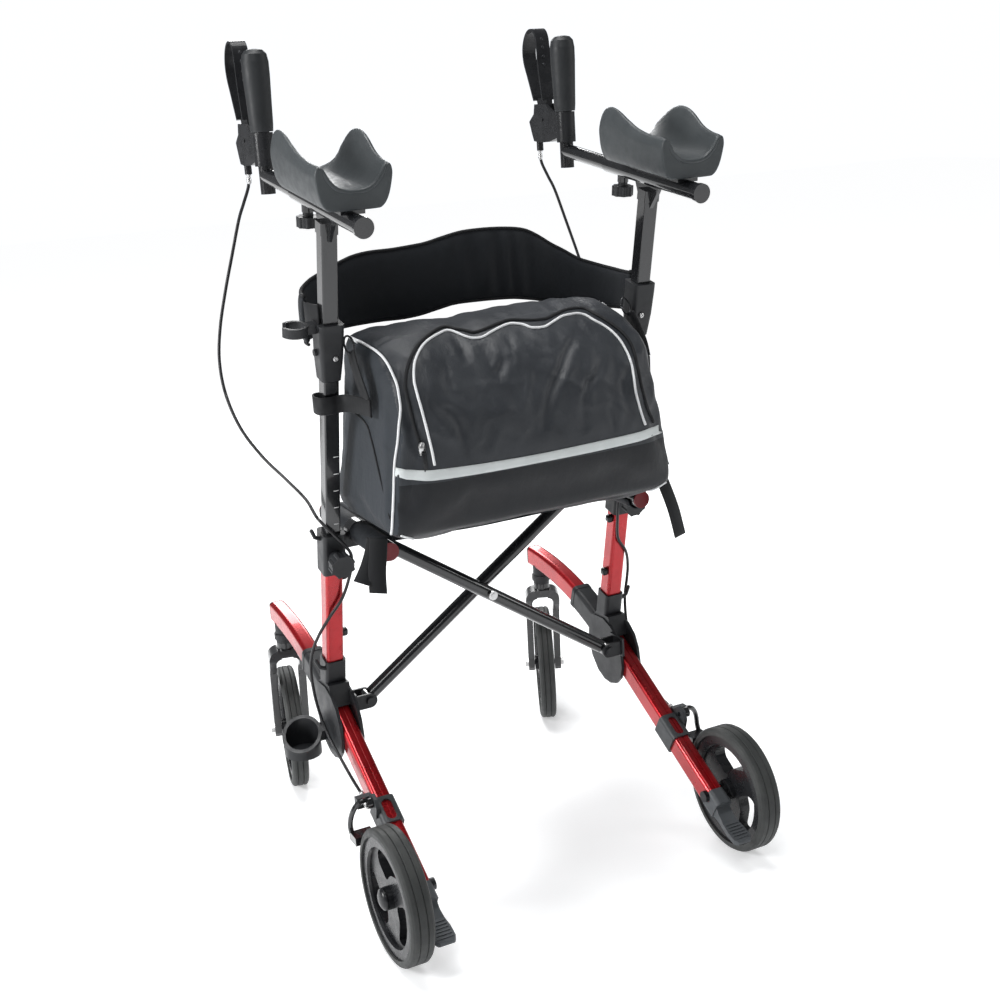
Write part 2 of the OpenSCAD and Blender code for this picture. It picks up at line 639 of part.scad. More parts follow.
module brace_bolt() color("silver") translate([0, 0, PIVOT_Z + PIVOT_X * tan(BRACE_ANGLE)]) {
    rod_y(PIN_R, REAR_BRACE_Y - BRACE_R - 6, FRONT_BRACE_Y + BRACE_R + 6);
    rod_y(7.5, REAR_BRACE_Y - BRACE_R - 5, REAR_BRACE_Y - BRACE_R - 0.4);
    rod_y(9, REAR_BRACE_Y + BRACE_R + 0.4, FRONT_BRACE_Y - BRACE_R - 0.4);
    rod_y(7.5, FRONT_BRACE_Y + BRACE_R + 0.4, FRONT_BRACE_Y + BRACE_R + 5);
}

module seat_rail() translate([rail_x, 0, rail_z]) {
    color(BLACK) difference() {
        rod_y(RAIL_R, RAIL_REAR, RAIL_FRONT);
        rod_y(RAIL_R - 2, RAIL_REAR - 1, RAIL_FRONT + 1);
    }
    color(RED) for (y = [RAIL_REAR - 3.05, RAIL_FRONT + 0.05]) rod_y(RAIL_R - 0.5, y, y + 3);
}

module seat_sling() color(BLACK) translate([-rail_x + 20, RAIL_REAR + 8, rail_z + 9])
    cube([2 * rail_x - 40, RAIL_FRONT - RAIL_REAR - 20, 4]);

BAG_SIDE = [[60, 600], [50, 618], [43, 660], [42, 720], [46, 770], [60, 812], [86, 848],
            [124, 874], [170, 890], [215, 893], [250, 888], [276, 868], [288, 820], [296, 740],
            [300, 660], [300, 606], [290, 597], [110, 597]];
module bag() color(BLACK) plate_yz(BAG_SIDE, -bag_w / 2, bag_w / 2);

// The backrest band in plan: a flat-fronted arch from one upright's bracket to the other's.
function arch(a, b, t) = [a * sign(cos(t)) * pow(abs(cos(t)), 0.62), b * pow(abs(sin(t)), 0.62)];
BAND_IN = [280, 122];
BAND_OUT = [290, 134];
module backrest() color(BLACK) translate([0, 190, 858]) linear_extrude(130)
    polygon(concat([[BAND_OUT[0], 17]],
        [for (i = [1 : 23]) arch(BAND_OUT[0], BAND_OUT[1], i * 7.5)],
        [[-BAND_OUT[0], 17], [-BAND_IN[0], 17]],
        [for (i = [23 : -1 : 1]) arch(BAND_IN[0], BAND_IN[1], i * 7.5)],
        [[BAND_IN[0], 17]]));

// ---- cane holder, on the left side ----

module cane_clip() color(BLACK) on_mast() translate([48, 4, BRACKET_TOP - 14]) difference() {
    union() {
        rod_z(19, 0, 14);
        translate([-29.4, -7, 0]) cube([20, 14, 14]);
    }
    rod_z(14.5, -1, 15);
    rotate([0, 0, 20]) translate([6, -9, -1]) cube([20, 18, 16]);
}

// A shallow cup whose mouth slopes down to the rear, with a thick lip.
CUP_X = 312;
CUP_Y = 332;
module above_mouth(z) translate([0, 0, z]) rotate([0, 0, 25]) rotate([30, 0, 0])
    translate([-60, -60, 0]) cube([120, 120, 80]);
module cane_cup() color(BLACK) translate([CUP_X, CUP_Y, 0]) difference() {
    union() {
        rod_z(29.5, 193, 260);
        difference() {
            rod_z(32, 193, 260);
            translate([0, 0, -4]) rotate([0, 0, 25]) translate([0, 0, 227]) rotate([30, 0, 0])
                translate([-80, -80, -160]) cube([160, 160, 160]);
        }
        translate([276.6 - CUP_X, -12, 212]) cube([13, 24, 22]);
    }
    rod_z(26.5, 197, 290);
    above_mouth(227);
}

left() leg_tube();  // left_leg_tube
left() housing_at(FRONT_BRACE_Y);  // left_joint_housing
left() front_tube();  // left_front_tube
left() end_caps();  // left_end_caps
left() lower_upright();  // left_lower_upright
left() height_collar();  // left_height_collar
left() height_knob();  // left_height_knob
left() upright();  // left_upright
left() strap_bracket();  // left_strap_bracket
left() arm_bar();  // left_arm_bar
left() arm_pad();  // left_arm_pad
left() handle_tube();  // left_handle_tube
left() reach_knob();  // left_reach_knob
left() grip();  // left_grip
left() brake_bracket();  // left_brake_bracket
left() brake_lever();  // left_brake_lever
left() brake_cable();  // left_brake_cable
left() brake_mount();  // left_brake_mount
left() brake_arm();  // left_brake_arm
left() rear_axle();  // left_rear_axle
left() rear_rim();  // left_rear_rim
left() rear_tyre();  // left_rear_tyre
on_caster(-1) caster_fork();  // left_caster_fork
on_caster(-1) front_rim();  // left_front_rim
on_caster(-1) front_tyre();  // left_front_tyre
right() leg_tube();  // right_leg_tube
right() housing_at(REAR_BRACE_Y);  // right_joint_housing
right() front_tube();  // right_front_tube
right() end_caps();  // right_end_caps
right() lower_upright();  // right_lower_upright
right() height_collar();  // right_height_collar
right() height_knob();  // right_height_knob
right() upright();  // right_upright
right() strap_bracket();  // right_strap_bracket
right() arm_bar();  // right_arm_bar
right() arm_pad();  // right_arm_pad
right() handle_tube();  // right_handle_tube
right() reach_knob();  // right_reach_knob
right() grip();  // right_grip
right() brake_bracket();  // right_brake_bracket
right() brake_lever();  // right_brake_lever
right() brake_cable();  // right_brake_cable
right() brake_mount();  // right_brake_mount
right() brake_arm();  // right_brake_arm
right() rear_axle();  // right_rear_axle
right() rear_rim();  // right_rear_rim
right() rear_tyre();  // right_rear_tyre
on_caster(1) caster_fork();  // right_caster_fork
on_caster(1) front_rim();  // right_front_rim
on_caster(1) front_tyre();  // right_front_tyre
centred() brace(1, FRONT_BRACE_Y);  // front_brace
centred() brace(-1, REAR_BRACE_Y);  // rear_brace
centred() brace_bolt();
left() seat_rail();  // left_seat_rail
right() seat_rail();  // right_seat_rail
centred() seat_sling();
centred() bag();
centred() backrest();
left() cane_clip();
left() cane_cup();
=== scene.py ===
"""Folding upright rollator with forearm supports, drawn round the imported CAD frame."""
import math

import bmesh
import bpy
from mathutils import Matrix, Vector, noise
from mathutils.bvhtree import BVHTree


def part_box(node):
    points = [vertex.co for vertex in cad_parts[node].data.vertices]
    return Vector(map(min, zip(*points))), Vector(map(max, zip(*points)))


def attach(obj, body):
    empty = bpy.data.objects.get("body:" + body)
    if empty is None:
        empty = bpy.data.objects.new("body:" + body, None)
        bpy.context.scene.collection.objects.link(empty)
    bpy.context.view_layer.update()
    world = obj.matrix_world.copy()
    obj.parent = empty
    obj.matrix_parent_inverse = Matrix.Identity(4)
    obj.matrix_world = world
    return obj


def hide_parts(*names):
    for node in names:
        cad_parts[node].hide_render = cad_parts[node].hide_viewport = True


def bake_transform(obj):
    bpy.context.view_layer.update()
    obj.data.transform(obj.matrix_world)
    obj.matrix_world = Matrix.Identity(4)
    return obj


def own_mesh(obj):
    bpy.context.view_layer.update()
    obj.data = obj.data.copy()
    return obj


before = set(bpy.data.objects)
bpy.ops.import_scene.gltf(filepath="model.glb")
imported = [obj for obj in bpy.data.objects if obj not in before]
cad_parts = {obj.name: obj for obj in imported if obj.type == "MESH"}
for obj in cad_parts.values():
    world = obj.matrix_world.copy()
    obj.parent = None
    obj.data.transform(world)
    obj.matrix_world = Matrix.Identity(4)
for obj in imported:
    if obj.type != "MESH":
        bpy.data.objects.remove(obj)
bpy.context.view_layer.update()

MM = 0.001
# The rear axle is the drawing's zero in Y, as in the CAD.
AXLE_Y = sum(corner.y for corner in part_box("left_rear_rim")) / 2
SIDES = {"left": -1, "right": 1}
UPRIGHT_X = 257                 # from the middle to each upright, forearm bar and caster stem
LEAN = math.radians(13.3)       # of the uprights, back from the vertical
BAR_SLOPE = math.radians(8.57)  # of the forearm bars, up towards the front
BAG_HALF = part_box("bag")[1].x / MM
RAIL = (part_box("left_seat_rail")[0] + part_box("left_seat_rail")[1]) / 2 / MM


# ---- places ----

def at(x, y, z):
    """A point given in millimetres, Y from the rear axle."""
    return Vector((x * MM, y * MM + AXLE_Y, z * MM))


def on_mast(x, y, t):
    """x across, y forward of the upright's axis, t up along it from its foot."""
    return at(x, 302 - t * math.sin(LEAN) + y * math.cos(LEAN),
              358 + t * math.cos(LEAN) + y * math.sin(LEAN))


def on_bar(x, y, z):
    """x across, y forward along the forearm bar, z above its axis."""
    return at(x, 6.7 + y * math.cos(BAR_SLOPE) - z * math.sin(BAR_SLOPE),
              1047.4 + y * math.sin(BAR_SLOPE) + z * math.cos(BAR_SLOPE))


EYE = at(-898.2, -1675.6, 1193.5)  # where the camera stands


# ---- shader helpers ----

class Nodes:
    """A material's node tree, with short names for what is used here."""

    def __init__(self, name, colour, roughness, **sockets):
        self.material = bpy.data.materials.new(name)
        self.material.use_nodes = True
        self.tree = self.material.node_tree
        self.shader = self.tree.nodes["Principled BSDF"]
        self.shader.inputs["Base Color"].default_value = (*colour, 1)
        self.shader.inputs["Roughness"].default_value = roughness
        for key, value in sockets.items():
            self.shader.inputs[key.replace("_", " ")].default_value = value
        self.material.diffuse_color = (*colour, 1)
        self.point = self.add("ShaderNodeTexCoord").outputs["Object"]
        self.height = None

    def add(self, kind, **values):
        node = self.tree.nodes.new(kind)
        for key, value in values.items():
            if key in node.inputs:
                node.inputs[key].default_value = value
            else:
                setattr(node, key, value)
        return node

    def link(self, a, b):
        self.tree.links.new(a, b)

    def stretched(self, scale):
        mapping = self.add("ShaderNodeMapping")
        mapping.inputs["Scale"].default_value = scale
        self.link(self.point, mapping.inputs["Vector"])
        return mapping.outputs["Vector"]

    def noise(self, scale, detail=3.0, vector=None, roughness=0.55):
        node = self.add("ShaderNodeTexNoise", Scale=scale, Detail=detail, Roughness=roughness)
        self.link(vector or self.point, node.inputs["Vector"])
        return node.outputs["Fac"]

    def wave(self, scale, axis, vector=None, distortion=0.0):
        node = self.add("ShaderNodeTexWave", Scale=scale, Distortion=distortion)
        node.bands_direction = axis
        self.link(vector or self.point, node.inputs["Vector"])
        return node.outputs["Fac"]

    def voronoi(self, scale):
        node = self.add("ShaderNodeTexVoronoi", Scale=scale)
        self.link(self.point, node.inputs["Vector"])
        return node.outputs["Distance"]

    def maths(self, operation, a, b):
        node = self.add("ShaderNodeMath", operation=operation)
        for value, socket in ((a, node.inputs[0]), (b, node.inputs[1])):
            if isinstance(value, (int, float)):
                socket.default_value = value
            else:
                self.link(value, socket)
        return node.outputs[0]

    def range(self, fac, low, high, start=0.3, end=0.7):
        node = self.add("ShaderNodeMapRange")
        node.inputs["From Min"].default_value = start
        node.inputs["From Max"].default_value = end
        node.inputs["To Min"].default_value = low
        node.inputs["To Max"].default_value = high
        self.link(fac, node.inputs["Value"])
        return node.outputs["Result"]

    def colours(self, fac, *stops):
        """Base colour from a factor, stops as (position, colour)."""
        ramp = self.add("ShaderNodeValToRGB")
        while len(ramp.color_ramp.elements) < len(stops):
            ramp.color_ramp.elements.new(0.5)
        for element, (place, colour) in zip(ramp.color_ramp.elements, stops):
            element.position = place
            element.color = (*colour, 1)
        self.link(fac, ramp.inputs["Fac"])
        self.link(ramp.outputs["Color"], self.shader.inputs["Base Color"])
        return self

    def rough(self, fac, low, high, start=0.3, end=0.7):
        self.link(self.range(fac, low, high, start, end), self.shader.inputs["Roughness"])
        return self

    def bump(self, fac, distance, strength=0.5):
        node = self.add("ShaderNodeBump", Strength=strength, Distance=distance)
        self.link(fac, node.inputs["Height"])
        if self.height is not None:
            self.link(self.height, node.inputs["Normal"])
        self.height = node.outputs["Normal"]
        self.link(self.height, self.shader.inputs["Normal"])
        return self

    def wear(self, colour, amount=0.5):
        """Lighter edges, where the surface has been rubbed."""
        pointy = self.add("ShaderNodeNewGeometry").outputs["Pointiness"]
        mask = self.maths("MULTIPLY", self.range(pointy, 0, 1, 0.53, 0.6), self.noise(60))
        mix = self.add("ShaderNodeMix", data_type="RGBA")
        source = self.shader.inputs["Base Color"].links
        if source:
            self.link(source[0].from_socket, mix.inputs[6])
        else:
            mix.inputs[6].default_value = self.shader.inputs["Base Color"].default_value
        mix.inputs[7].default_value = (*colour, 1)
        self.link(self.maths("MULTIPLY", mask, amount), mix.inputs[0])
        self.link(mix.outputs[2], self.shader.inputs["Base Color"])
        return self


def plastic(name, colour, roughness, grain=900.0):
    nodes = Nodes(name, colour, roughness, Specular_IOR_Level=0.32)
    soft = nodes.noise(18)
    light = tuple(min(1.0, c * 1.3 + 0.002) for c in colour)
    nodes.colours(soft, (0.3, colour), (0.75, light))
    nodes.rough(nodes.noise(45), roughness - 0.07, roughness + 0.1)
    nodes.bump(nodes.voronoi(grain), 0.00012, 0.35)
    nodes.wear(tuple(min(1.0, c * 1.6 + 0.012) for c in colour), 0.5)
    return nodes.material


def paint(name, colour, deep, metallic, roughness, coat):
    nodes = Nodes(name, colour, roughness, Metallic=metallic, Coat_Weight=coat, Coat_Roughness=0.06)
    flakes = nodes.voronoi(2600)
    nodes.colours(nodes.maths("ADD", nodes.maths("MULTIPLY", flakes, 0.35), nodes.noise(9)),
                  (0.35, deep), (0.75, colour))
    nodes.rough(nodes.noise(22), roughness - 0.04, roughness + 0.07)
    nodes.bump(nodes.noise(260, 2), 0.00004, 0.25)
    nodes.wear(tuple(min(1.0, c * 1.5 + 0.03) for c in colour), 0.35)
    return nodes.material


def woven(name, colour, light, roughness, threads, sheen=0.25, crush=True):
    """Plain-weave cloth, the two thread directions as crossed waves."""
    nodes = Nodes(name, colour, roughness, Sheen_Weight=sheen, Sheen_Roughness=0.4, Specular_IOR_Level=0.3)
    weave = nodes.maths("MULTIPLY", nodes.wave(threads, "X"), nodes.wave(threads, "Z"))
    weave = nodes.maths("ADD", weave, nodes.maths("MULTIPLY", nodes.wave(threads, "Y"), 0.4))
    patches = nodes.noise(11, 5)
    nodes.colours(patches, (0.3, colour), (0.75, light))
    nodes.rough(patches, roughness - 0.08, roughness + 0.1)
    nodes.bump(weave, 0.00018, 0.4)
    if crush:
        nodes.bump(nodes.noise(30, 5, nodes.stretched((1.0, 1.0, 0.4))), 0.003, 0.55)
    return nodes.material


def rubber(name, colour, light, roughness, grain):
    nodes = Nodes(name, colour, roughness, Specular_IOR_Level=0.28)
    nodes.colours(nodes.noise(24, 5), (0.3, colour), (0.8, light))
    nodes.rough(nodes.noise(80), roughness - 0.08, roughness + 0.08)
    nodes.bump(nodes.noise(grain, 3), 0.0002, 0.35)
    nodes.wear(tuple(c * 1.5 + 0.01 for c in light), 0.5)
    return nodes.material


def metal(name, colour, roughness):
    nodes = Nodes(name, colour, roughness, Metallic=1.0)
    nodes.colours(nodes.noise(50, 4), (0.3, tuple(c * 0.75 for c in colour)), (0.7, colour))
    nodes.rough(nodes.noise(120, 4), roughness - 0.08, roughness + 0.12)
    nodes.bump(nodes.noise(500, 2), 0.00005, 0.3)
    return nodes.material


RED = paint("red_paint", (0.4, 0.004, 0.009), (0.17, 0.0015, 0.004), 0.66, 0.27, 0.5)
RED_CAP = plastic("red_cap", (0.11, 0.005, 0.008), 0.35)
BLACK = paint("black_enamel", (0.008, 0.0085, 0.01), (0.004, 0.0045, 0.0055), 0.25, 0.2, 0.8)
PLASTIC = plastic("black_plastic", (0.012, 0.0128, 0.0145), 0.42)
HARD_PLASTIC = plastic("gloss_plastic", (0.008, 0.0085, 0.0098), 0.26)
GREY_PLASTIC = plastic("grey_plastic", (0.035, 0.038, 0.041), 0.45)
BOOT = plastic("boot_plastic", (0.055, 0.06, 0.065), 0.5)
FORK = paint("fork_paint", (0.009, 0.0095, 0.011), (0.005, 0.0055, 0.0065), 0.1, 0.3, 0.55)
GRIP = rubber("grip_rubber", (0.013, 0.0145, 0.016), (0.021, 0.023, 0.025), 0.5, 900)
TYRE = rubber("tyre_rubber", (0.028, 0.03, 0.03), (0.048, 0.05, 0.049), 0.58, 500)
PAD = rubber("pad_foam", (0.036, 0.041, 0.044), (0.049, 0.055, 0.058), 0.44, 1500)
STEEL = metal("zinc", (0.6, 0.6, 0.6), 0.3)
DARK_STEEL = metal("black_steel", (0.06, 0.062, 0.066), 0.36)
CABLE = rubber("cable_sleeve", (0.012, 0.012, 0.013), (0.02, 0.02, 0.022), 0.35, 1800)
NYLON = woven("bag_nylon", (0.02, 0.0225, 0.0265), (0.034, 0.0375, 0.043), 0.37, 420, 0.06)
NYLON_PLAIN = woven("bag_lower", (0.005, 0.0058, 0.0078), (0.0085, 0.0098, 0.0125), 0.5, 420, 0.03)
SIDE_CLOTH = woven("bag_side", (0.017, 0.021, 0.026), (0.025, 0.03, 0.037), 0.7, 330, 0.06)
BACK_CLOTH = woven("backrest_cloth", (0.0065, 0.008, 0.0105), (0.011, 0.0135, 0.017), 0.7, 330, 0.03)
WEBBING = woven("webbing", (0.0045, 0.005, 0.006), (0.009, 0.0098, 0.0115), 0.7, 260, 0.03, False)
PIPING = woven("white_piping", (0.62, 0.63, 0.64), (0.78, 0.79, 0.8), 0.45, 900, 0.1, False)
TAPE = woven("reflective_tape", (0.5, 0.53, 0.53), (0.62, 0.65, 0.65), 0.42, 1400, 0.1, False)
MARKS = plastic("white_marks", (0.7, 0.7, 0.7), 0.5)


# ---- mesh helpers ----

def new_object(name, verts, faces, material, smooth=True):
    mesh = bpy.data.meshes.new(name)
    mesh.from_pydata([tuple(v) for v in verts], [], faces)
    mesh.update()
    obj = bpy.data.objects.new(name, mesh)
    bpy.context.scene.collection.objects.link(obj)
    mesh.materials.append(material)
    recalc(obj)
    if smooth:
        for polygon in mesh.polygons:
            polygon.use_smooth = True
    return obj


def recalc(obj):
    bm = bmesh.new()
    bm.from_mesh(obj.data)
    bmesh.ops.recalc_face_normals(bm, faces=bm.faces)
    bm.to_mesh(obj.data)
    bm.free()


def apply_modifiers(obj):
    bpy.context.view_layer.update()
    depsgraph = bpy.context.evaluated_depsgraph_get()
    mesh = bpy.data.meshes.new_from_object(obj.evaluated_get(depsgraph))
    obj.modifiers.clear()
    obj.data = mesh
    for polygon in mesh.polygons:
        polygon.use_smooth = True
    return obj


def split_caps(obj):
    """Cuts end faces into triangles, so a hollow outline keeps its shape when it is subdivided."""
    mesh = bmesh.new()
    mesh.from_mesh(obj.data)
    bmesh.ops.triangulate(mesh, faces=[f for f in mesh.faces if len(f.verts) > 4], ngon_method="EAR_CLIP")
    mesh.to_mesh(obj.data)
    mesh.free()


def subdivide(obj, levels):
    modifier = obj.modifiers.new("Subdivision", "SUBSURF")
    modifier.levels = modifier.render_levels = levels
    return apply_modifiers(obj)


def catmull_rom(a, b, c, d, t):
    return 0.5 * (2 * b + (c - a) * t + (2 * a - 5 * b + 4 * c - d) * t * t
                  + (3 * b - a - 3 * c + d) * t ** 3)


def spline(points, steps, closed=False):
    """A smooth curve through the points."""
    n = len(points)
    pick = (lambda i: points[i % n]) if closed else (lambda i: points[max(0, min(n - 1, i))])
    out = []
    for i in range(n if closed else n - 1):
        a, b, c, d = pick(i - 1), pick(i), pick(i + 1), pick(i + 2)
        for k in range(steps):
            out.append(catmull_rom(a, b, c, d, k / steps))
    return out if closed else out + [points[-1]]


def loft(name, rings, material, closed=True, capped=True):
    """Skins rings of equal length."""
    size = len(rings[0])
    verts = [v for ring in rings for v in ring]
    faces = []
    for i in range(len(rings) - 1):
        for k in range(size if closed else size - 1):
            m = (k + 1) % size
            faces.append((i * size + k, i * size + m, (i + 1) * size + m, (i + 1) * size + k))
    if capped:
        faces.append(tuple(range(size)))
        faces.append(tuple(range((len(rings) - 1) * size, len(rings) * size)))
    return new_object(name, verts, faces, material)


def frames_along(path):
    """(point, side, up) at each point of a path, turning as little as it can."""
    side = None
    out = []
    for i, point in enumerate(path):
        heading = (path[min(i + 1, len(path) - 1)] - path[max(i - 1, 0)]).normalized()
        if side is None:
            side = heading.orthogonal().normalized()
        side = (side - heading * side.dot(heading)).normalized()
        out.append((point, side, heading.cross(side)))
    return out


def tube(name, path, radius, material, sides=12):
    rings = [[p + radius * (math.cos(a) * s + math.sin(a) * u)
              for a in (2 * math.pi * k / sides for k in range(sides))]
             for p, s, u in frames_along(path)]
    return loft(name, rings, material)


def ribbon(name, path, across, thickness, material):
    """A strap along a path; across is its width as a vector, one for all or one per point."""
    rings = []
    for i, point in enumerate(path):
        heading = (path[min(i + 1, len(path) - 1)] - path[max(i - 1, 0)]).normalized()
        half = (across[i] if isinstance(across, list) else across) / 2
        normal = heading.cross(half).normalized() * thickness / 2
        edge = half.normalized() * thickness * 0.35
        rings.append([point - half + edge + normal, point + half - edge + normal, point + half,
                      point + half - edge - normal, point - half + edge - normal, point - half])
    return loft(name, rings, material)


def surface(obj):
    bm = bmesh.new()
    bm.from_mesh(obj.data)
    tree = BVHTree.FromBMesh(bm)
    bm.free()
    return tree


def hit(tree, origin, direction, fallback):
    """(point, normal) where a ray meets the surface."""
    place, normal, _, _ = tree.ray_cast(origin, direction)
    if place is None:
        place, normal, _, _ = tree.find_nearest(fallback)
    return place, normal


def resample(points, gap):
    out = [points[0]]
    for point in points[1:]:
        if (point - out[-1]).length >= gap:
            out.append(point)
    return out


def lathe(name, profile, material, centre, turn, sides=32):
    """profile is (radius, height) up the axis; turn is the rotation that takes Z to it."""
    rings = [[centre + turn @ Vector((r * math.cos(a), r * math.sin(a), h))
              for a in (2 * math.pi * k / sides for k in range(sides))] for r, h in profile]
    return loft(name, rings, material)


def screw(name, centre, outward, radius, material=None):
    """A pan-head screw with a round socket."""
    turn = outward.to_track_quat("Z", "Y").to_matrix()
    r = radius
    body = lathe(name, [(r, 0), (r, 0.25 * r), (0.86 * r, 0.55 * r), (0.5 * r, 0.66 * r),
                        (0.45 * r, 0.66 * r), (0.45 * r, 0.25 * r), (0.01 * r, 0.25 * r)],
                 material or STEEL, centre, turn, 24)
    return body


# ---- soft goods by simulation ----

def settle(obj, pressure, cap, frames=20, voxel=0.006):
    """Blows a closed form up like stuffed cloth and keeps the result within cap of where it began."""
    modifier = obj.modifiers.new("Remesh", "REMESH")
    modifier.mode = "VOXEL"
    modifier.voxel_size = voxel
    apply_modifiers(obj)
    before = [v.co.copy() for v in obj.data.vertices]
    cloth = obj.modifiers.new("Cloth", "CLOTH")
    settings = cloth.settings
    settings.use_pressure = True
    settings.uniform_pressure_force = pressure
    settings.effector_weights.gravity = 0
    settings.mass = 0.3
    settings.quality = 5
    settings.tension_stiffness = settings.compression_stiffness = 12
    settings.bending_stiffness = 0.6
    cloth.point_cache.frame_end = frames
    for number in range(1, frames + 1):
        bpy.context.scene.frame_set(number)
    apply_modifiers(obj)
    bpy.context.scene.frame_set(1)
    for vertex, start in zip(obj.data.vertices, before):
        move = vertex.co - start
        if move.length > cap:
            vertex.co = start + move.normalized() * cap
    return obj


def smooth_mesh(obj, turns):
    bm = bmesh.new()
    bm.from_mesh(obj.data)
    for _ in range(turns):
        bmesh.ops.smooth_vert(bm, verts=bm.verts, factor=0.5,
                              use_axis_x=True, use_axis_y=True, use_axis_z=True)
    bm.to_mesh(obj.data)
    bm.free()
    return obj


# ---- camera, light and floor ----

def make_camera():
    camera = bpy.data.objects.new("camera", bpy.data.cameras.new("camera"))
    bpy.context.scene.collection.objects.link(camera)
    azimuth, elevation, roll = (math.radians(a) for a in (-25.73, 16.08, -3.62))
    ahead = Vector((-math.sin(azimuth) * math.cos(elevation), math.cos(azimuth) * math.cos(elevation),
                    -math.sin(elevation)))
    level = Vector((math.cos(azimuth), math.sin(azimuth), 0))
    above = level.cross(ahead)
    right = math.cos(roll) * level + math.sin(roll) * above
    up = math.cos(roll) * above - math.sin(roll) * level
    camera.matrix_world = Matrix.Translation(EYE) @ Matrix((right, up, -ahead)).transposed().to_4x4()
    camera.data.sensor_width = 36
    camera.data.lens = 50.08
    camera.data.clip_end = 30
    bpy.context.scene.camera = camera


def area_light(name, place, size, watts, target=(0, 0, 0.7)):
    light = bpy.data.objects.new(name, bpy.data.lights.new(name, "AREA"))
    light.data.energy = watts
    light.data.size = size
    bpy.context.scene.collection.objects.link(light)
    light.location = place
    light.rotation_euler = (Vector(target) - Vector(place)).to_track_quat("-Z", "Y").to_euler()


def make_stage():
    """A white sweep: the floor glows more the further it is, so no horizon shows behind the object."""
    bpy.context.scene.view_settings.view_transform = "Standard"
    world = bpy.data.worlds.new("studio")
    world.use_nodes = True
    tree = world.node_tree
    sky = tree.nodes["Background"]
    sky.inputs["Color"].default_value = (0.95, 0.97, 1.0, 1)
    seen_by = tree.nodes.new("ShaderNodeLightPath")
    strength = tree.nodes.new("ShaderNodeMapRange")
    strength.inputs["To Min"].default_value = 0.17
    strength.inputs["To Max"].default_value = 1.05
    tree.links.new(seen_by.outputs["Is Camera Ray"], strength.inputs["Value"])
    tree.links.new(strength.outputs["Result"], sky.inputs["Strength"])
    bpy.context.scene.world = world
    sweep = Nodes("floor", (0.82, 0.83, 0.84), 0.8)
    sweep.shader.inputs["Emission Color"].default_value = (1, 1, 1, 1)
    away = sweep.add("ShaderNodeVectorMath", operation="LENGTH")
    sweep.link(sweep.point, away.inputs[0])
    glow = sweep.range(away.outputs["Value"], 0.4, 0.85, 0.9, 5.0)
    sweep.link(glow, sweep.shader.inputs["Emission Strength"])
    corners = [(-14, -14, 0), (14, -14, 0), (14, 14, 0), (-14, 14, 0)]
    floor = new_object("floor", corners, [(0, 1, 2, 3)], sweep.material, False)
    area_light("key", (-1.6, -2.3, 3.3), 1.1, 26)
    area_light("left", (-3.2, 0.3, 1.7), 1.0, 90)
    area_light("right", (2.9, -1.4, 2.0), 1.2, 20)
    area_light("top", (-0.3, 0.2, 3.5), 1.5, 84)
    area_light("back", (1.0, 3.0, 2.1), 1.4, 55)


# ---- CAD nodes that stay, with their finishes ----

FINISH = {
    "leg_tube": RED, "front_tube": RED, "lower_upright": RED,
    "joint_housing": PLASTIC, "height_collar": PLASTIC, "height_knob": PLASTIC,
    "strap_bracket": PLASTIC,
    "upright": BLACK, "arm_bar": BLACK, "handle_tube": BLACK, "reach_knob": PLASTIC, "grip": GRIP,
    "brake_bracket": HARD_PLASTIC, "brake_lever": HARD_PLASTIC, "brake_mount": GREY_PLASTIC,
    "brake_arm": BLACK, "rear_axle": DARK_STEEL, "rear_rim": HARD_PLASTIC, "rear_tyre": TYRE,
    "caster_fork": FORK, "front_rim": HARD_PLASTIC, "front_tyre": TYRE,
}
CENTRE_FINISH = {"front_brace": BLACK, "rear_brace": BLACK, "brace_bolt": STEEL,
                 "cane_clip": PLASTIC, "cane_cup": PLASTIC}
RAIL_ENDS = (at(0, 121.9, 0).y, at(0, 384.03, 0).y)  # the red caps begin here
BOOT_END = AXLE_Y + 0.1                              # the leg tube's rear boot ends before here
# How far each caster stands turned at rest, and the axis it turns on.
SWIVEL = {"left": math.radians(12), "right": math.radians(25)}
STEM = at(UPRIGHT_X, 562, 0)
FORK_OUTER = 0.0321                                  # from the stem's plane to the fork's outer face


def shade_by_angle(obj, degrees=35):
    mesh = obj.data
    for polygon in mesh.polygons:
        polygon.use_smooth = True
    mesh.set_sharp_from_angle(angle=math.radians(degrees))


def finish_cad():
    for side in SIDES:
        for node, material in FINISH.items():
            paint_node(f"{side}_{node}", material)
        paint_part(f"{side}_end_caps", PLASTIC, lambda c: c.y < BOOT_END, BOOT)
        paint_part(f"{side}_seat_rail", BLACK, lambda c: not RAIL_ENDS[0] <= c.y <= RAIL_ENDS[1], RED_CAP)
        paint_part(f"{side}_caster_fork", FORK, lambda c, s=side: c.z < 0.12 and past_fork(s, c), STEEL)
    for node, material in CENTRE_FINISH.items():
        paint_node(node, material)


def past_fork(side, centre):
    """Whether a face lies out past the fork's legs, where the axle's nuts are."""
    stem = Vector((SIDES[side] * STEM.x, STEM.y, 0))
    axle = Vector((math.cos(SWIVEL[side]), -math.sin(SWIVEL[side]), 0))
    return abs((Vector((centre.x, centre.y, 0)) - stem).dot(axle)) > FORK_OUTER


def paint_node(name, material):
    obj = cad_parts[name]
    for i in range(max(1, len(obj.material_slots))):
        if i < len(obj.material_slots):
            obj.material_slots[i].material = material
        else:
            obj.data.materials.append(material)
    shade_by_angle(obj)


def paint_part(name, material, test, second):
    """Two finishes on one CAD node, told apart by where a face is."""
    paint_node(name, material)
    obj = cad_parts[name]
    obj.data.materials.append(second)
    index = len(obj.data.materials) - 1
    for polygon in obj.data.polygons:
        if test(polygon.center):
            polygon.material_index = index


# ---- forearm pads ----

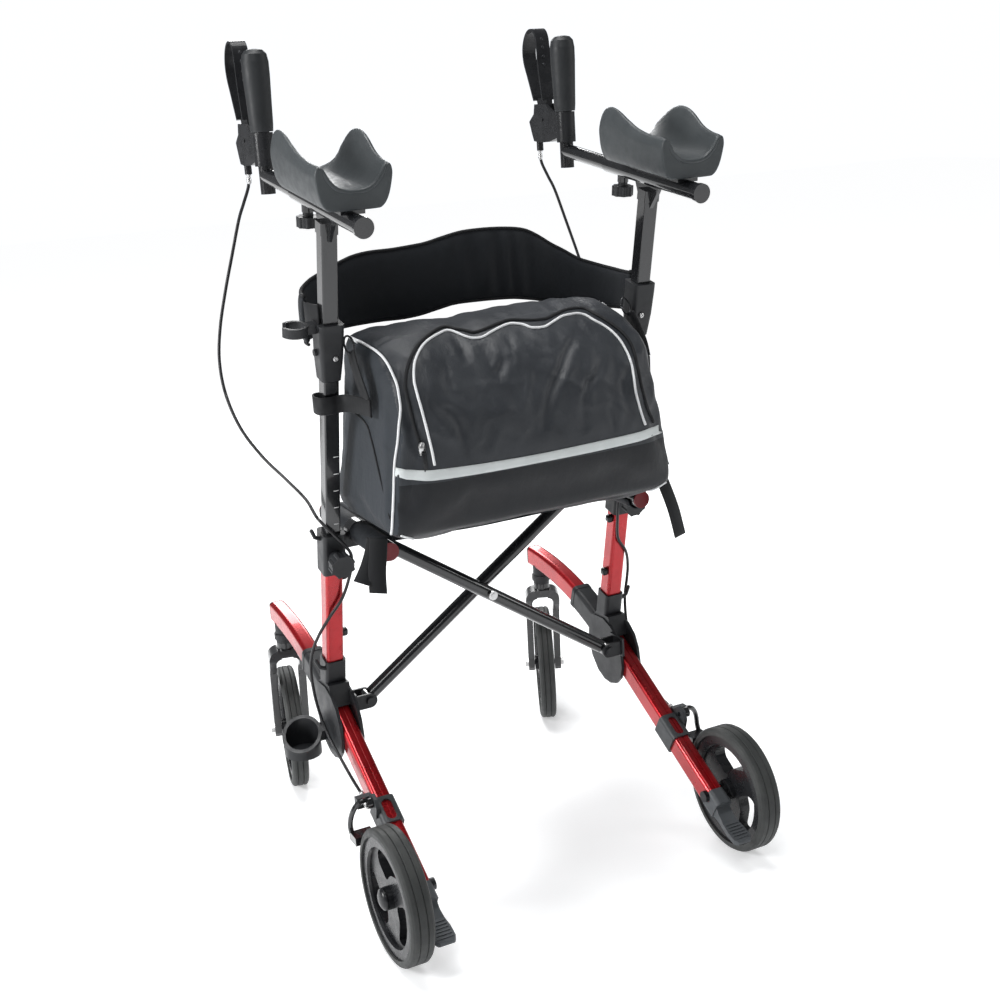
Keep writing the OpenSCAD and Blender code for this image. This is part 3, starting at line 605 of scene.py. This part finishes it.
# Half of the section across the bar where the wing is 74 high: bowl, rim, flat underside.
PAD_SECTION = [(0, 41), (13, 42), (24, 46.5), (33, 54.5), (38.6, 63), (41, 68.5), (43.6, 73), (47, 74.6),
               (50.5, 73), (52.6, 66), (52.6, 57), (48.5, 36), (42, 22.5), (34, 16.5)]
# Height of each wing's top above the bar, by distance along it. The two wings peak apart.
WINGS = {1: [(20, 73), (48, 75), (72, 82), (92, 94), (108, 100), (128, 101), (146, 96), (166, 83), (184, 69),
             (196, 58)],
         -1: [(20, 74), (64, 74), (100, 79), (130, 89), (152, 97), (172, 99), (184, 95), (192, 86),
              (196, 74)]}
# Where each ring lies along the bar, how far it is drawn in, and how deep the bowl is sunk in it.
PAD_RINGS = [(20, 2.6, 0), (20.3, 1.4, 0), (21.2, 0.5, 0), (23, 0, 0), (26.5, 0, 0), (29, 0, 1),
             (32, 0, 2)]
PAD_RINGS += [(38 + 146 * i / 16, 0, 2) for i in range(17)]
PAD_RINGS += [(188, 0, 1), (191, 0, 0), (193.5, 0, 0), (195, 0.6, 0), (195.8, 1.6, 0), (196, 2.6, 0)]


WING_FOOT = 44  # the section above this height follows the wings


def height_at(line, x):
    """The height of a smooth line through (x, height) points, at x."""
    k = next((i for i in range(1, len(line)) if x <= line[i][0]), len(line) - 1)
    (x0, b), (x1, c) = line[k - 1], line[k]
    a, d = line[max(k - 2, 0)][1], line[min(k + 1, len(line) - 1)][1]
    t = max(0.0, min(1.0, (x - x0) / (x1 - x0)))
    return catmull_rom(a, b, c, d, t)


def drawn_in(outline, amount):
    """The outline, which runs from the bowl over +x to the underside, moved inward along its normals."""
    out = []
    n = len(outline)
    for k, p in enumerate(outline):
        along = (outline[(k + 1) % n] - outline[k - 1]).normalized()
        out.append(p + Vector((along.y, -along.x)) * amount)
    return out


def wing_top(x, y, z):
    """A height in the section moved to where it lies under the wing on its side, y along the bar."""
    top = height_at(WINGS[1 if x >= 0 else -1], y)
    return WING_FOOT + (z - WING_FOOT) * (top - WING_FOOT) / 30 if z > WING_FOOT else z


def rolled_rim(side):
    """The bead along one wing, round the rear of the bowl and up the other wing."""
    sign = SIDES[side]
    x, z = 46.6, 72.4
    wing = (190, 184, 176, *range(166, 45, -12), 36, 29)
    path = [(-x, y, wing_top(-x, y, z)) for y in wing]
    rear = [(-45, 24.5, 71), (-42, 23, 68.5), (-38, 22.2, 61), (-32, 22, 52.5), (-23, 22, 45),
            (-12, 22, 41.2)]
    path += rear + [(0, 22, 40.2)] + [(-p, q, r) for p, q, r in reversed(rear)]
    path += [(x, y, wing_top(x, y, z)) for y in reversed(wing)]
    line = spline([on_bar(sign * UPRIGHT_X + p, q, r) for p, q, r in path], 2)
    return [tube(f"{side}_pad_rim", line, 0.0031, PAD, 10)]


def make_pad(side):
    sign = SIDES[side]
    rings = []
    half = [p.to_2d() for p in spline([Vector((x, z, 0)) for x, z in PAD_SECTION], 3)]
    outline = half + [Vector((-p.x, p.y)) for p in reversed(half[1:])]
    for y, inset, sunk in PAD_RINGS:
        ring = []
        for p in outline:
            bowl = sunk if p.y > 30 and abs(p.x) < 42 else 0
            ring.append(Vector((p.x, wing_top(p.x, y, p.y) - bowl)))
        if inset:
            ring = drawn_in(ring, inset)
        rings.append([on_bar(sign * UPRIGHT_X + p.x, y, p.y) for p in ring])
    pad = loft(f"{side}_pad", rings, PAD)
    split_caps(pad)
    subdivide(pad, 1)
    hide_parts(f"{side}_arm_pad")
    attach(pad, f"{side}_upright")


# ---- the bag ----

# The side outline in Y and Z, from the rear bottom corner round over the top.
BAG_SIDE = [(52, 606), (45, 640), (44, 700), (48, 760), (62, 812), (88, 849), (128, 873), (172, 885),
            (214, 888), (250, 882), (275, 858), (287, 800), (293, 720), (296, 650), (294, 610), (270, 600),
            (190, 596), (100, 598)]
# Half the bag's width by height: it spreads towards its base.
BAG_WIDTH = [(z, BAG_HALF + more) for z, more in
             ((590, 6), (620, 7), (690, 1), (750, -8), (800, -15), (900, -19))]
BAG_REAR = 45      # the plane of its rear face, which the seams and folds are drawn on
STRIP_LOW = 0.689  # below the tape the cloth is plain


def hump(x, width):
    """A smooth hump of height 1 at zero."""
    return math.exp(-(x / width) ** 2)


def bag_shape():
    """A lofted shell: side outlines drawn in towards both ends, with a crown in the middle."""
    centre = Vector((172, 742))
    side = [p.to_2d() for p in spline([Vector((y, z, 0)) for y, z in BAG_SIDE], 3, closed=True)]
    rings = []
    for i in range(33):
        u = -1 + 2 * i / 32
        end = 1 - 0.045 * abs(u) ** 14
        ring = []
        for p in side:
            q = centre + (p - centre) * end
            up = max(0.0, (q.y - 700) / 190)
            # the top is crowned, sags left of the middle and stands up over the pocket
            q.y += up * (5 * math.cos(u * 1.3) - 6 * hump(u + 0.38, 0.2) + 3 * hump(u - 0.3, 0.3))
            back = max(0.0, (110 - q.x) / 66)
            q.x -= back * 9 * (1 - u * u) * math.sin(math.pi * min(1, max(0, (q.y - 610) / 260)))
            ring.append(at(u * height_at(BAG_WIDTH, q.y), q.x, q.y))
        rings.append(ring)
    return loft("bag_body", rings, NYLON)


def wrinkle(point):
    """Folds of slack nylon: ridges that hang from the top of the pocket, and soft dents."""
    x, z = point.x / MM, point.z / MM
    above = min(1.0, max(0.0, (z - 702) / 40)) * min(1.0, max(0.0, (885 - z) / 30))
    below = min(1.0, max(0.0, (690 - z) / 25)) * min(1.0, max(0.0, (z - 606) / 20))
    bend = 0.35 * (z - 790)
    folds = noise.noise(Vector(((x + bend) / 34, z / 120, 1.3)))
    folds += 0.5 * noise.noise(Vector(((x - 0.6 * bend) / 17, z / 60, 7.1)))
    dents = noise.noise(Vector((x / 60, z / 70, 4.2)))
    # thin creases, where a noise passes through nothing
    folds -= 0.8 * max(0.0, 1 - 7 * abs(noise.noise(Vector(((x + bend) / 48, (z - 0.3 * x) / 75, 5.5)))))
    folds -= 0.5 * max(0.0, 1 - 6 * abs(noise.noise(Vector(((x - bend) / 30, (z + 0.5 * x) / 50, 8.8)))))
    swells = noise.noise(Vector((x / 70, z / 26, 2.2)))
    return (above * (3.6 * folds + 2.4 * dents) + below * (1.5 * swells)) * MM


# The deep folds, as lines seen on the rear face (x, z), each with its depth and width.
FOLDS = [(5.5, 9, [(63, 862), (57, 850), (47, 831), (30, 801), (17, 769), (7, 728)]),
         (5.0, 8, [(111, 824), (99, 804), (83, 791), (76, 769), (75, 726)]),
         (4.0, 8, [(151, 800), (144, 784), (143, 758)]), (4.0, 7, [(128, 759), (122, 743), (126, 718)]),
         (2.2, 6, [(-21, 878), (0, 864), (22, 851), (35, 849)]), (2.2, 6, [(-11, 856), (6, 840), (28, 832)]),
         (3.0, 7, [(68, 886), (75, 872), (93, 855)]), (2.5, 6, [(-42, 881), (-38, 859), (-38, 827)]),
         (2.5, 6, [(-50, 869), (-50, 845), (-55, 819)]),
         (5.5, 11, [(-154, 795), (-134, 782), (-120, 757), (-111, 723)]),
         (3.0, 8, [(-52, 842), (-59, 820)]), (3.5, 9, [(-139, 854), (-139, 831), (-132, 808), (-118, 796)]),
         (3.0, 8, [(-126, 884), (-113, 872), (-105, 846)]), (2.5, 7, [(-73, 848), (-67, 831), (-57, 823)]),
         (6.0, 9, [(118, 897), (150, 884), (182, 855), (203, 815), (212, 775), (219, 735)]),
         (3.5, 7, [(-200, 862), (-204, 830), (-202, 800), (-197, 770), (-192, 735)])]


def off_line(point, line):
    """(distance, share of the way along) from a point to a broken line, in the plane."""
    nearest, share = 1e9, 0.0
    for k, (a, b) in enumerate(zip(line, line[1:])):
        along = b - a
        t = max(0.0, min(1.0, (point - a).dot(along) / along.length_squared))
        gap = (point - a - along * t).length
        if gap < nearest:
            nearest, share = gap, (k + t) / (len(line) - 1)
    return nearest, share


def fold_depth(place, lines):
    """How far the folds press the cloth in: each is a tight crease in a swell, fading at its ends."""
    t = (at(0, BAG_REAR, 0).y - EYE.y) / (place.y - EYE.y)
    seen_at = Vector(((EYE.x + (place.x - EYE.x) * t) / MM, (EYE.z + (place.z - EYE.z) * t) / MM))
    depth = 0.0
    for deep, wide, line in lines:
        gap, share = off_line(seen_at, line)
        if gap < 6 * wide:
            fade = 0.25 + 0.75 * min(1.0, 3.5 * share, 3.5 * (1 - share))
            depth += deep * fade * (1.5 * hump(gap, 0.75 * wide) - 0.55 * hump(gap, 2.4 * wide))
    return depth * MM


def make_bag():
    bag = bag_shape()
    settle(bag, 3.0, 0.007)
    smooth_mesh(bag, 3)
    lines = [(deep, wide, [Vector(p) for p in line]) for deep, wide, line in FOLDS]
    for vertex in bag.data.vertices:
        if vertex.co.y < at(0, 140, 0).y:
            folded = fold_depth(vertex.co, lines) if vertex.co.z > 0.7 else 0
            vertex.co.y += wrinkle(vertex.co) * 0.8 + folded
        elif vertex.co.z > 0.84:
            vertex.co.z += wrinkle(Vector((vertex.co.x, 0, 0.85 + vertex.co.y * 0.2))) * 0.6
    subdivide(bag, 1)
    low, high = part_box("bag")
    for vertex in bag.data.vertices:
        vertex.co.x = max(low.x - 0.01, min(high.x + 0.01, vertex.co.x))
    paint_bag(bag)
    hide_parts("bag")
    return bag


def paint_bag(bag):
    """Plain lower panel and grey side panels."""
    bag.data.materials.append(NYLON_PLAIN)
    bag.data.materials.append(SIDE_CLOTH)
    for polygon in bag.data.polygons:
        c, n = polygon.center, polygon.normal
        if abs(n.x) > 0.72 and abs(c.x) > 0.205:
            polygon.material_index = 2
        elif c.z < STRIP_LOW:
            polygon.material_index = 1


# The seams as (x, z) in the plane of the rear face.
BAG_LINES = {
    "bag_piping_left": [(-276, 905), (-267, 901), (-253, 892), (-238, 881), (-226, 867), (-218, 850),
                        (-212, 831), (-210, 811), (-210, 796), (-214, 772), (-218, 749), (-224, 725),
                        (-229, 686), (-234, 650), (-238, 626), (-247, 615)],
    "bag_piping_right": [(110, 908), (121, 908), (132, 904), (149, 894), (166, 879), (181, 862),
                         (192, 842), (202, 824), (209, 802), (214, 778), (219, 745), (222, 719),
                         (226, 670), (230, 622)],
    "pocket_piping": [(-166, 711), (-169, 736), (-174, 766), (-179, 792), (-184, 815), (-187, 835),
                      (-183, 860), (-168, 881), (-145, 892), (-129, 894), (-106, 883), (-94, 879),
                      (-80, 879), (-67, 884), (-52, 889), (-36, 892), (-16, 888), (-6, 883), (5, 881),
                      (18, 881), (31, 886), (46, 892), (58, 893), (71, 893), (84, 889), (98, 880),
                      (113, 871), (128, 859), (141, 844), (152, 824), (158, 806), (161, 787),
                      (163, 768), (168, 746), (173, 728), (179, 712)],
    "pocket_zip": [(-185, 738), (-187, 752), (-191, 768), (-194, 787), (-197, 805), (-200, 826),
                   (-197, 846), (-190, 863), (-177, 881), (-155, 895), (-136, 900), (-119, 895),
                   (-105, 891), (-93, 887), (-79, 889), (-66, 892), (-52, 895), (-36, 897), (-5, 893),
                   (19, 892), (34, 896), (50, 900), (67, 901), (84, 898), (101, 888), (117, 878),
                   (132, 867), (147, 854), (159, 836), (166, 812), (170, 790), (175, 765), (182, 740),
                   (192, 716)],
}


def seen(tree, x, z, lift):
    """The bag's surface as it is seen from EYE through the point (x, z) of its rear plane."""
    aim = at(x, BAG_REAR, z)
    look = (aim - EYE).normalized()
    place, normal = hit(tree, EYE, look, aim + look * 0.16)
    return place + (normal if normal.dot(look) < 0 else -normal) * lift


def over_surface(tree, xz, lift, steps=5):
    return [seen(tree, p.x, p.y, lift) for p in spline([Vector((x, z, 0)) for x, z in xz], steps)]


def bag_details(bag):
    tree = surface(bag)
    pieces = []
    for name, line in BAG_LINES.items():
        if name == "pocket_zip":
            path = resample(over_surface(tree, line, 0.0006), 0.003)
            pieces.append(tube(name, path, 0.0027, WEBBING, 8))
        else:
            path = resample(over_surface(tree, line, 0.001), 0.003)
            pieces.append(tube(name, path, 0.0019, PIPING, 10))
    for sign in (-1, 1):
        pieces += side_seams(tree, sign)
    pieces.append(strip(tree))
    pieces += zipper(tree)
    return pieces


def side_seams(tree, sign):
    """Piping over the top of the right end, along the bottom edge of each end, and the mesh pocket's hem."""
    name = "left" if sign < 0 else "right"
    path = []
    for z, y in (872, 92), (882, 130), (886, 170), (887, 205), (884, 236):
        place, normal = hit(tree, at(sign * 214, y, 960), Vector((0, 0, -1)), at(sign * 214, y, z))
        path.append(place + normal * 0.0008)
    pieces = []
    if sign > 0:
        pieces.append(tube("bag_piping_right_top", spline(path[2:], 6), 0.0019, PIPING, 10))
    low = []
    for y, z in (52, 612), (70, 604), (120, 601), (174, 600), (230, 602), (288, 607):
        place, normal = hit(tree, at(sign * 300, y, z), Vector((-sign, 0, 0)), at(sign * 222, y, z))
        low.append(place + normal * 0.0008)
    pieces.append(tube(f"bag_piping_{name}_low", spline(low, 5), 0.0019, PIPING, 10))
    hem = []
    for y, z in (66, 640), (100, 700), (128, 738), (150, 760), (200, 770), (250, 772), (282, 770):
        place, normal = hit(tree, at(sign * 300, y, z), Vector((-sign, 0, 0)), at(sign * 222, y, z))
        hem.append(place + normal * 0.0006)
    pieces.append(tube(f"bag_hem_{name}", spline(hem, 5), 0.0015, WEBBING, 8))
    return pieces


# Lower and upper edge of the tape across the rear.
TAPE_LOW = [(-226, 706), (-212, 699), (-175, 690), (-90, 687), (0, 687), (90, 688), (168, 691),
            (205, 697), (224, 703)]
TAPE_HIGH = [(-226, 719), (-212, 713), (-175, 705), (-90, 701), (0, 700), (90, 702), (168, 705),
             (205, 711), (224, 717)]


def strip(tree):
    """The reflective tape across the rear, from seam to seam."""
    rings = []
    for i in range(61):
        x = -225 + 448 * i / 60
        low, high = height_at(TAPE_LOW, x), height_at(TAPE_HIGH, x)
        ring = [seen(tree, x, low + (high - low) * k / 3, 0.0011) for k in range(4)]
        back = [p + Vector((0, 0.0008, 0)) for p in reversed(ring)]
        rings.append(ring + back)
    return loft("bag_tape", rings, TAPE)


def zipper(tree):
    """The slider and pull at the lower left end of the pocket's zip."""
    top = seen(tree, -184, 738, 0.0)
    shape = ((-4, -9), (4, -9), (5, 2), (3, 9), (-3, 9), (-5, 2))
    rings = [[top + Vector((x, -out, z)) * MM for x, z in shape] for out in (0, 3, 4.2)]
    line = [top + Vector(p) * MM for p in ((1, -5, -5), (2, -7, -22), (4, -6.5, -48))]
    return [loft("zip_slider", rings, STEEL),
            ribbon("zip_pull", spline(line, 6), Vector((7 * MM, 0, 0)), 0.0016, HARD_PLASTIC)]


def bag_straps():
    """The loops round the uprights, the upper straps with their hooks, and the loose tails."""
    pieces = []
    for side, sign in SIDES.items():
        loop = spline([at(sign * x, y, z) for x, y, z in BAG_LOOP], 5)
        pieces.append(ribbon(f"{side}_bag_loop", loop, Vector((0, 0, 0.026)), 0.0026, WEBBING))
        upper = spline([at(sign * x, y, z) for x, y, z in BAG_STRAP], 5)
        pieces.append(ribbon(f"{side}_bag_strap", upper, Vector((0, 0.026, -0.008)), 0.0024, WEBBING))
        turns = [2 * math.pi * k / 24 for k in range(24)]
        ring = [at(sign * (229 - 7 * math.cos(a)), 172 + 6 * math.sin(a), 872 + 12 * math.sin(a))
                for a in turns]
        pieces.append(tube(f"{side}_bag_hook", ring + ring[:1], 0.0016, DARK_STEEL, 8))
        for k, (across, path) in enumerate(TAILS[side]):
            line = spline([at(*p) for p in path], 5)
            pieces.append(ribbon(f"{side}_bag_tail_{k}", line, Vector(across) * MM, 0.0024, WEBBING))
    return pieces


# The loop round the upright and the strap up to the hook, on the right side.
BAG_LOOP = [(229, 108, 790), (233, 140, 790), (240, 172, 789), (250, 181, 788), (262, 181, 787),
            (275, 186, 787), (278, 202, 787), (273, 219, 788), (258, 222, 788), (243, 221, 789),
            (234, 236, 789), (230, 262, 789)]
BAG_STRAP = [(230, 120, 800), (232, 132, 822), (232, 150, 846), (230, 164, 864)]
# The loose ends of the bag's straps: width across, and the path each hangs along.
TAILS = {"left": [((24, -8, -4), [(-238, 98, 606), (-243, 92, 585), (-250, 84, 560), (-254, 76, 532)]),
                  ((20, -10, -9), [(-243, 100, 604), (-249, 98, 585), (-260, 92, 566), (-274, 86, 548)])],
         "right": [((24, 6, 3), [(236, 96, 612), (243, 92, 590), (254, 90, 556), (266, 92, 512)])]}


# ---- backrest ----

# The band's upper and lower edge, as height by distance across.
BACK_TOP = [(-276, 938), (-262, 946), (-240, 955), (-213, 963), (-185, 972), (-160, 979), (-132, 982),
            (-95, 982), (-56, 984), (-37, 986), (-7, 992), (23, 997), (55, 998), (86, 997), (117, 994),
            (137, 989), (157, 978), (177, 964), (197, 952), (218, 938), (239, 929), (262, 920),
            (276, 914)]
BACK_LOW = [(-276, 872), (-185, 877), (-123, 878), (-85, 877), (-55, 879), (-26, 884), (4, 889), (47, 889),
            (79, 888), (110, 886), (140, 881), (163, 876), (182, 870), (230, 862), (276, 858)]


def arch(share):
    """A point of the band's centreline in plan and the normal out of it, share from left to right."""
    def point(s):
        angle = math.pi * (1 - s)
        c, n = math.cos(angle), abs(math.sin(angle))
        return Vector((272 * math.copysign(abs(c) ** 0.58, c), 190 + 128 * n ** 0.62 + 14 * (1 - n) ** 3, 0))
    here = point(share)
    step = 0.004
    along = (point(min(1, share + step)) - point(max(0, share - step))).normalized()
    return here, Vector((-along.y, along.x, 0))


def band_rows():
    """Shares along the arch, evened out in length."""
    fine = [i / 800 for i in range(12, 789)]
    points = [arch(s)[0] for s in fine]
    length = [0.0]
    for a, b in zip(points, points[1:]):
        length.append(length[-1] + (b - a).length)
    rows, k = [], 0
    for i in range(141):
        want = length[-1] * i / 140
        while k < len(length) - 1 and length[k] < want:
            k += 1
        rows.append(fine[k])
    return rows


BACK_LEVELS = (0.0, 0.07, 0.25, 0.5, 0.75, 0.93, 1.0)


def make_backrest():
    rings, top_line, low_line = [], [], []
    for share in band_rows():
        here, out = arch(share)
        low, high = height_at(BACK_LOW, here.x), height_at(BACK_TOP, here.x)
        gather = 3.4 * hump(here.x - 95, 75) * math.sin(here.x / 5.4 + 1.2 * math.sin(here.x / 17))
        gather += 1.2 * noise.noise(Vector((here.x / 40, 3.3, 0.4)))
        ring = []
        for side, levels in ((-1, BACK_LEVELS), (1, BACK_LEVELS[::-1])):
            for v in levels:
                swell = 5.2 * (1 - abs(2 * v - 1) ** 5) ** 0.5 + 0.6
                crease = gather * (1 - abs(2 * v - 1) ** 3) if side < 0 else 0
                offset = out * (side * swell + crease)
                ring.append(at(here.x + offset.x, here.y + offset.y, low + (high - low) * v))
        rings.append(ring)
        top_line.append(at(here.x, here.y, high + 0.5))
        low_line.append(at(here.x, here.y, low - 0.5))
    band = loft("backrest_band", rings, BACK_CLOTH)
    subdivide(band, 1)
    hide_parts("backrest")
    return [band, tube("backrest_binding_top", top_line[::2], 0.0027, WEBBING, 10),
            tube("backrest_binding_low", low_line[::2], 0.0024, WEBBING, 10)]


def make_strap_loops():
    """Webbing that carries each end of the backrest to the outer side of its upright."""
    pieces = []
    for side, sign in SIDES.items():
        low = 0 if side == "left" else -14
        bend = ((272, 226), (275, 208), (274, 194), (272, 182), (271, 168))
        path = [at(sign * x, y, 916 + low) for x, y in bend]
        pieces.append(ribbon(f"{side}_back_strap", spline(path, 5), Vector((0, 0, 0.036)), 0.0024, WEBBING))
    return pieces


# ---- seat ----

SEAT_REAR, SEAT_FRONT = 132, 374
SLEEVE_R = 16.2


def cloth_strip(name, outline, ripple):
    """Cloth of one outline across, run along the rails, 1.6 mm thick."""
    rings = []
    for j in range(21):
        y = SEAT_REAR + (SEAT_FRONT - SEAT_REAR) * j / 20
        rings.append([at(x, y, z + ripple * noise.noise(Vector((x / 40, y / 30, 9.0))))
                      for x, z in outline])
    cloth = loft(name, rings, BACK_CLOTH, closed=False, capped=False)
    solid = cloth.modifiers.new("Solidify", "SOLIDIFY")
    solid.thickness = 0.0016
    solid.offset = 1
    return apply_modifiers(cloth)


def make_sling():
    """The seat cloth between its sleeves, sagging a little, with a sleeve round each rail."""
    sleeve = [(RAIL.x + SLEEVE_R * math.cos(math.radians(d)), RAIL.z + SLEEVE_R * math.sin(math.radians(d)))
              for d in range(360, 44, -15)]
    x0, z0 = sleeve[-1]
    middle = []
    for i in range(41):
        t = i / 40
        middle.append((x0 - 2 * x0 * t, z0 + 0.6 - 5.5 * (4 * t * (1 - t)) ** 0.8))
    sling = cloth_strip("seat_cloth", middle, 0.7)
    left = cloth_strip("left_seat_sleeve", sleeve, 0.0)
    right = cloth_strip("right_seat_sleeve", [(-x, z) for x, z in sleeve], 0.0)
    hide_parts("seat_sling")
    ride_all([sling], "left_rail", 0.28)
    ride_all([left], "left_rail")
    ride_all([right], "right_rail")


# ---- cords ----

# The brake cable's route, the same points as in the CAD.
CABLE_ROUTE = [(257, 477, 1103), (259, 479, 1085), (270, 478, 1060), (281, 476, 1036), (298, 474, 985),
               (316, 472, 930), (332, 468, 875), (342, 458, 825), (343, 440, 775), (334, 410, 725),
               (315, 372, 683), (293, 325, 650), (281, 280, 628), (277, 246, 606), (262, 224, 584),
               (246, 220, 562), (236, 227, 543), (238, 236, 512), (248, 254, 470), (268, 264, 440),
               (282, 282, 408), (290, 300, 375), (292, 312, 340), (291, 310, 300), (288, 296, 262),
               (284, 270, 232), (281, 235, 212), (280, 200, 198), (280, 168, 190), (280, 148, 186)]
CABLE_PARTS = [("upper", 0, 8), ("middle", 8, 13), ("lower", 13, 29)]


def make_cables():
    for side, sign in SIDES.items():
        whole = [at(sign * x, y, z) for x, y, z in CABLE_ROUTE]
        fine = spline(whole, 6)
        for part, first, last in CABLE_PARTS:
            path = fine[first * 6:last * 6 + 1]
            cable = tube(f"{side}_cable_{part}", path, 0.0025, CABLE)
            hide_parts(f"{side}_brake_cable")
            if part == "upper":
                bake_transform(cable)
            elif part == "middle":
                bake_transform(cable)
            else:
                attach(cable, f"{side}_frame")


# ---- small hardware ----

def ride_all(pieces, body, keep=None):
    """Rides the pieces on a body; with keep, each piece also gets a mesh of its own."""
    for piece in pieces:
        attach(piece, body)
        if keep:
            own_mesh(piece)


def tick_marks(side):
    """The five height marks on the inner rear edge of the upright."""
    sign = SIDES[side]
    pieces = []
    width = on_mast(0, 0, 1.3) - on_mast(0, 0, 0)
    for i in range(5):
        path = [on_mast(sign * (UPRIGHT_X - x), -11.62, 247 + 28 * i) for x in (1, 9)]
        pieces.append(ribbon(f"{side}_mark_{i}", path, width, 0.0004, MARKS))
    return pieces


def lever_screws(side):
    """Four small screws up the rear band of the loop lever."""
    x = SIDES[side] * UPRIGHT_X - 1
    pieces = []
    for i, (y, z) in enumerate(((447.2, 1243), (447.7, 1256), (449.1, 1270), (451.6, 1283))):
        out = Vector((0, -1, 0.3 if i > 1 else 0.05))
        pieces.append(screw(f"{side}_lever_screw_{i}", at(x, y, z), out, 0.0024, DARK_STEEL))
    return pieces


def bracket_screws(side):
    sign = SIDES[side]
    out = Vector((0, -math.cos(LEAN), -math.sin(LEAN)))
    return [screw(f"{side}_bracket_screw", on_mast(sign * (UPRIGHT_X - 4), -18.0, 516), out, 0.0042)]


def cable_ferrule(side):
    sign = SIDES[side]
    turn = Vector((0, 0.08, -1)).to_track_quat("Z", "Y").to_matrix()
    profile = [(2.7, 0), (3.9, 0.5), (3.9, 4), (3.2, 4.6), (3.2, 9), (3.7, 9.6), (3.7, 15), (2.8, 17)]
    return [lathe(f"{side}_ferrule", [(r * MM, h * MM) for r, h in profile], STEEL,
                  at(sign * UPRIGHT_X, 477.2, 1106), turn, 24)]


def brake_hardware(side):
    """The cable stop at the brake, and the shoe's pivot screw."""
    sign = SIDES[side]
    turn = Vector((0, -1, -0.1)).to_track_quat("Z", "Y").to_matrix()
    profile = [(2.6, 0), (4.4, 0.4), (4.4, 6), (3, 6.5), (3, 12), (3.8, 12.4), (3.8, 16), (2.6, 16.4)]
    stop = lathe(f"{side}_cable_stop", [(r * MM, h * MM) for r, h in profile], STEEL,
                 at(sign * 280, 160, 189), turn, 6)
    pivot = screw(f"{side}_brake_screw", at(sign * 288.2, 118, 191), Vector((sign, 0, 0)), 0.005)
    return [stop], [pivot]


def hub_cap(side):
    """A domed cap over the nut on the outer side of the rear wheel."""
    low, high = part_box(f"{side}_rear_rim")
    middle = (low + high) / 2
    centre = Vector((high.x if side == "right" else low.x, middle.y, middle.z))
    turn = Vector((SIDES[side], 0, 0)).to_track_quat("Z", "Y").to_matrix()
    radius = 0.0165
    profile = [(1, 0), (1, 0.18), (0.93, 0.32), (0.6, 0.5), (0.25, 0.57), (0.02, 0.58)]
    cap = lathe(f"{side}_rear_cap", [(r * radius, h * radius) for r, h in profile], HARD_PLASTIC,
                centre, turn, 40)
    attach(cap, f"{side}_rear_wheel")


# A square of half-width 1 with its corners cut.
CUT_SQUARE = [(-1, -0.7), (-0.7, -1), (0.7, -1), (1, -0.7), (1, 0.7), (0.7, 1), (-0.7, 1), (-1, 0.7)]


def clips(side):
    """Two clips on the inner side of the lower upright."""
    sign = SIDES[side]
    pieces = []
    forward = (on_mast(0, 1, 0) - on_mast(0, 0, 0)).normalized()
    up = (on_mast(0, 0, 1) - on_mast(0, 0, 0)).normalized()
    for i, t in enumerate((150, 46)):
        foot = on_mast(sign * 240, -3, t)
        rings = []
        for x, half in ((0, 5), (2, 6), (7, 6), (9, 4.6)):
            c = foot + Vector((-sign * (x - 3) * MM, 0, 0))
            rings.append([c + (forward * a + up * b) * half * MM for a, b in CUT_SQUARE])
        pieces.append(loft(f"{side}_clip_{i}", rings, HARD_PLASTIC))
    return pieces


make_camera()
make_stage()
finish_cad()
for name in SIDES:
    make_pad(name)
make_cables()

bag = make_bag()
ride_all([bag] + bag_details(bag) + bag_straps(), "left_rail", 0.28)
make_sling()
ride_all(make_backrest() + make_strap_loops(), "left_upright", 0.47)

for name in SIDES:
    ride_all(tick_marks(name) + bracket_screws(name) + rolled_rim(name), f"{name}_upright")
    ride_all(lever_screws(name), f"{name}_lever")
    ride_all(cable_ferrule(name), f"{name}_handle")
    fixed, moving = brake_hardware(name)
    ride_all(fixed, f"{name}_frame")
    ride_all(moving, f"{name}_brake")
    hub_cap(name)
    ride_all(clips(name), f"{name}_frame")
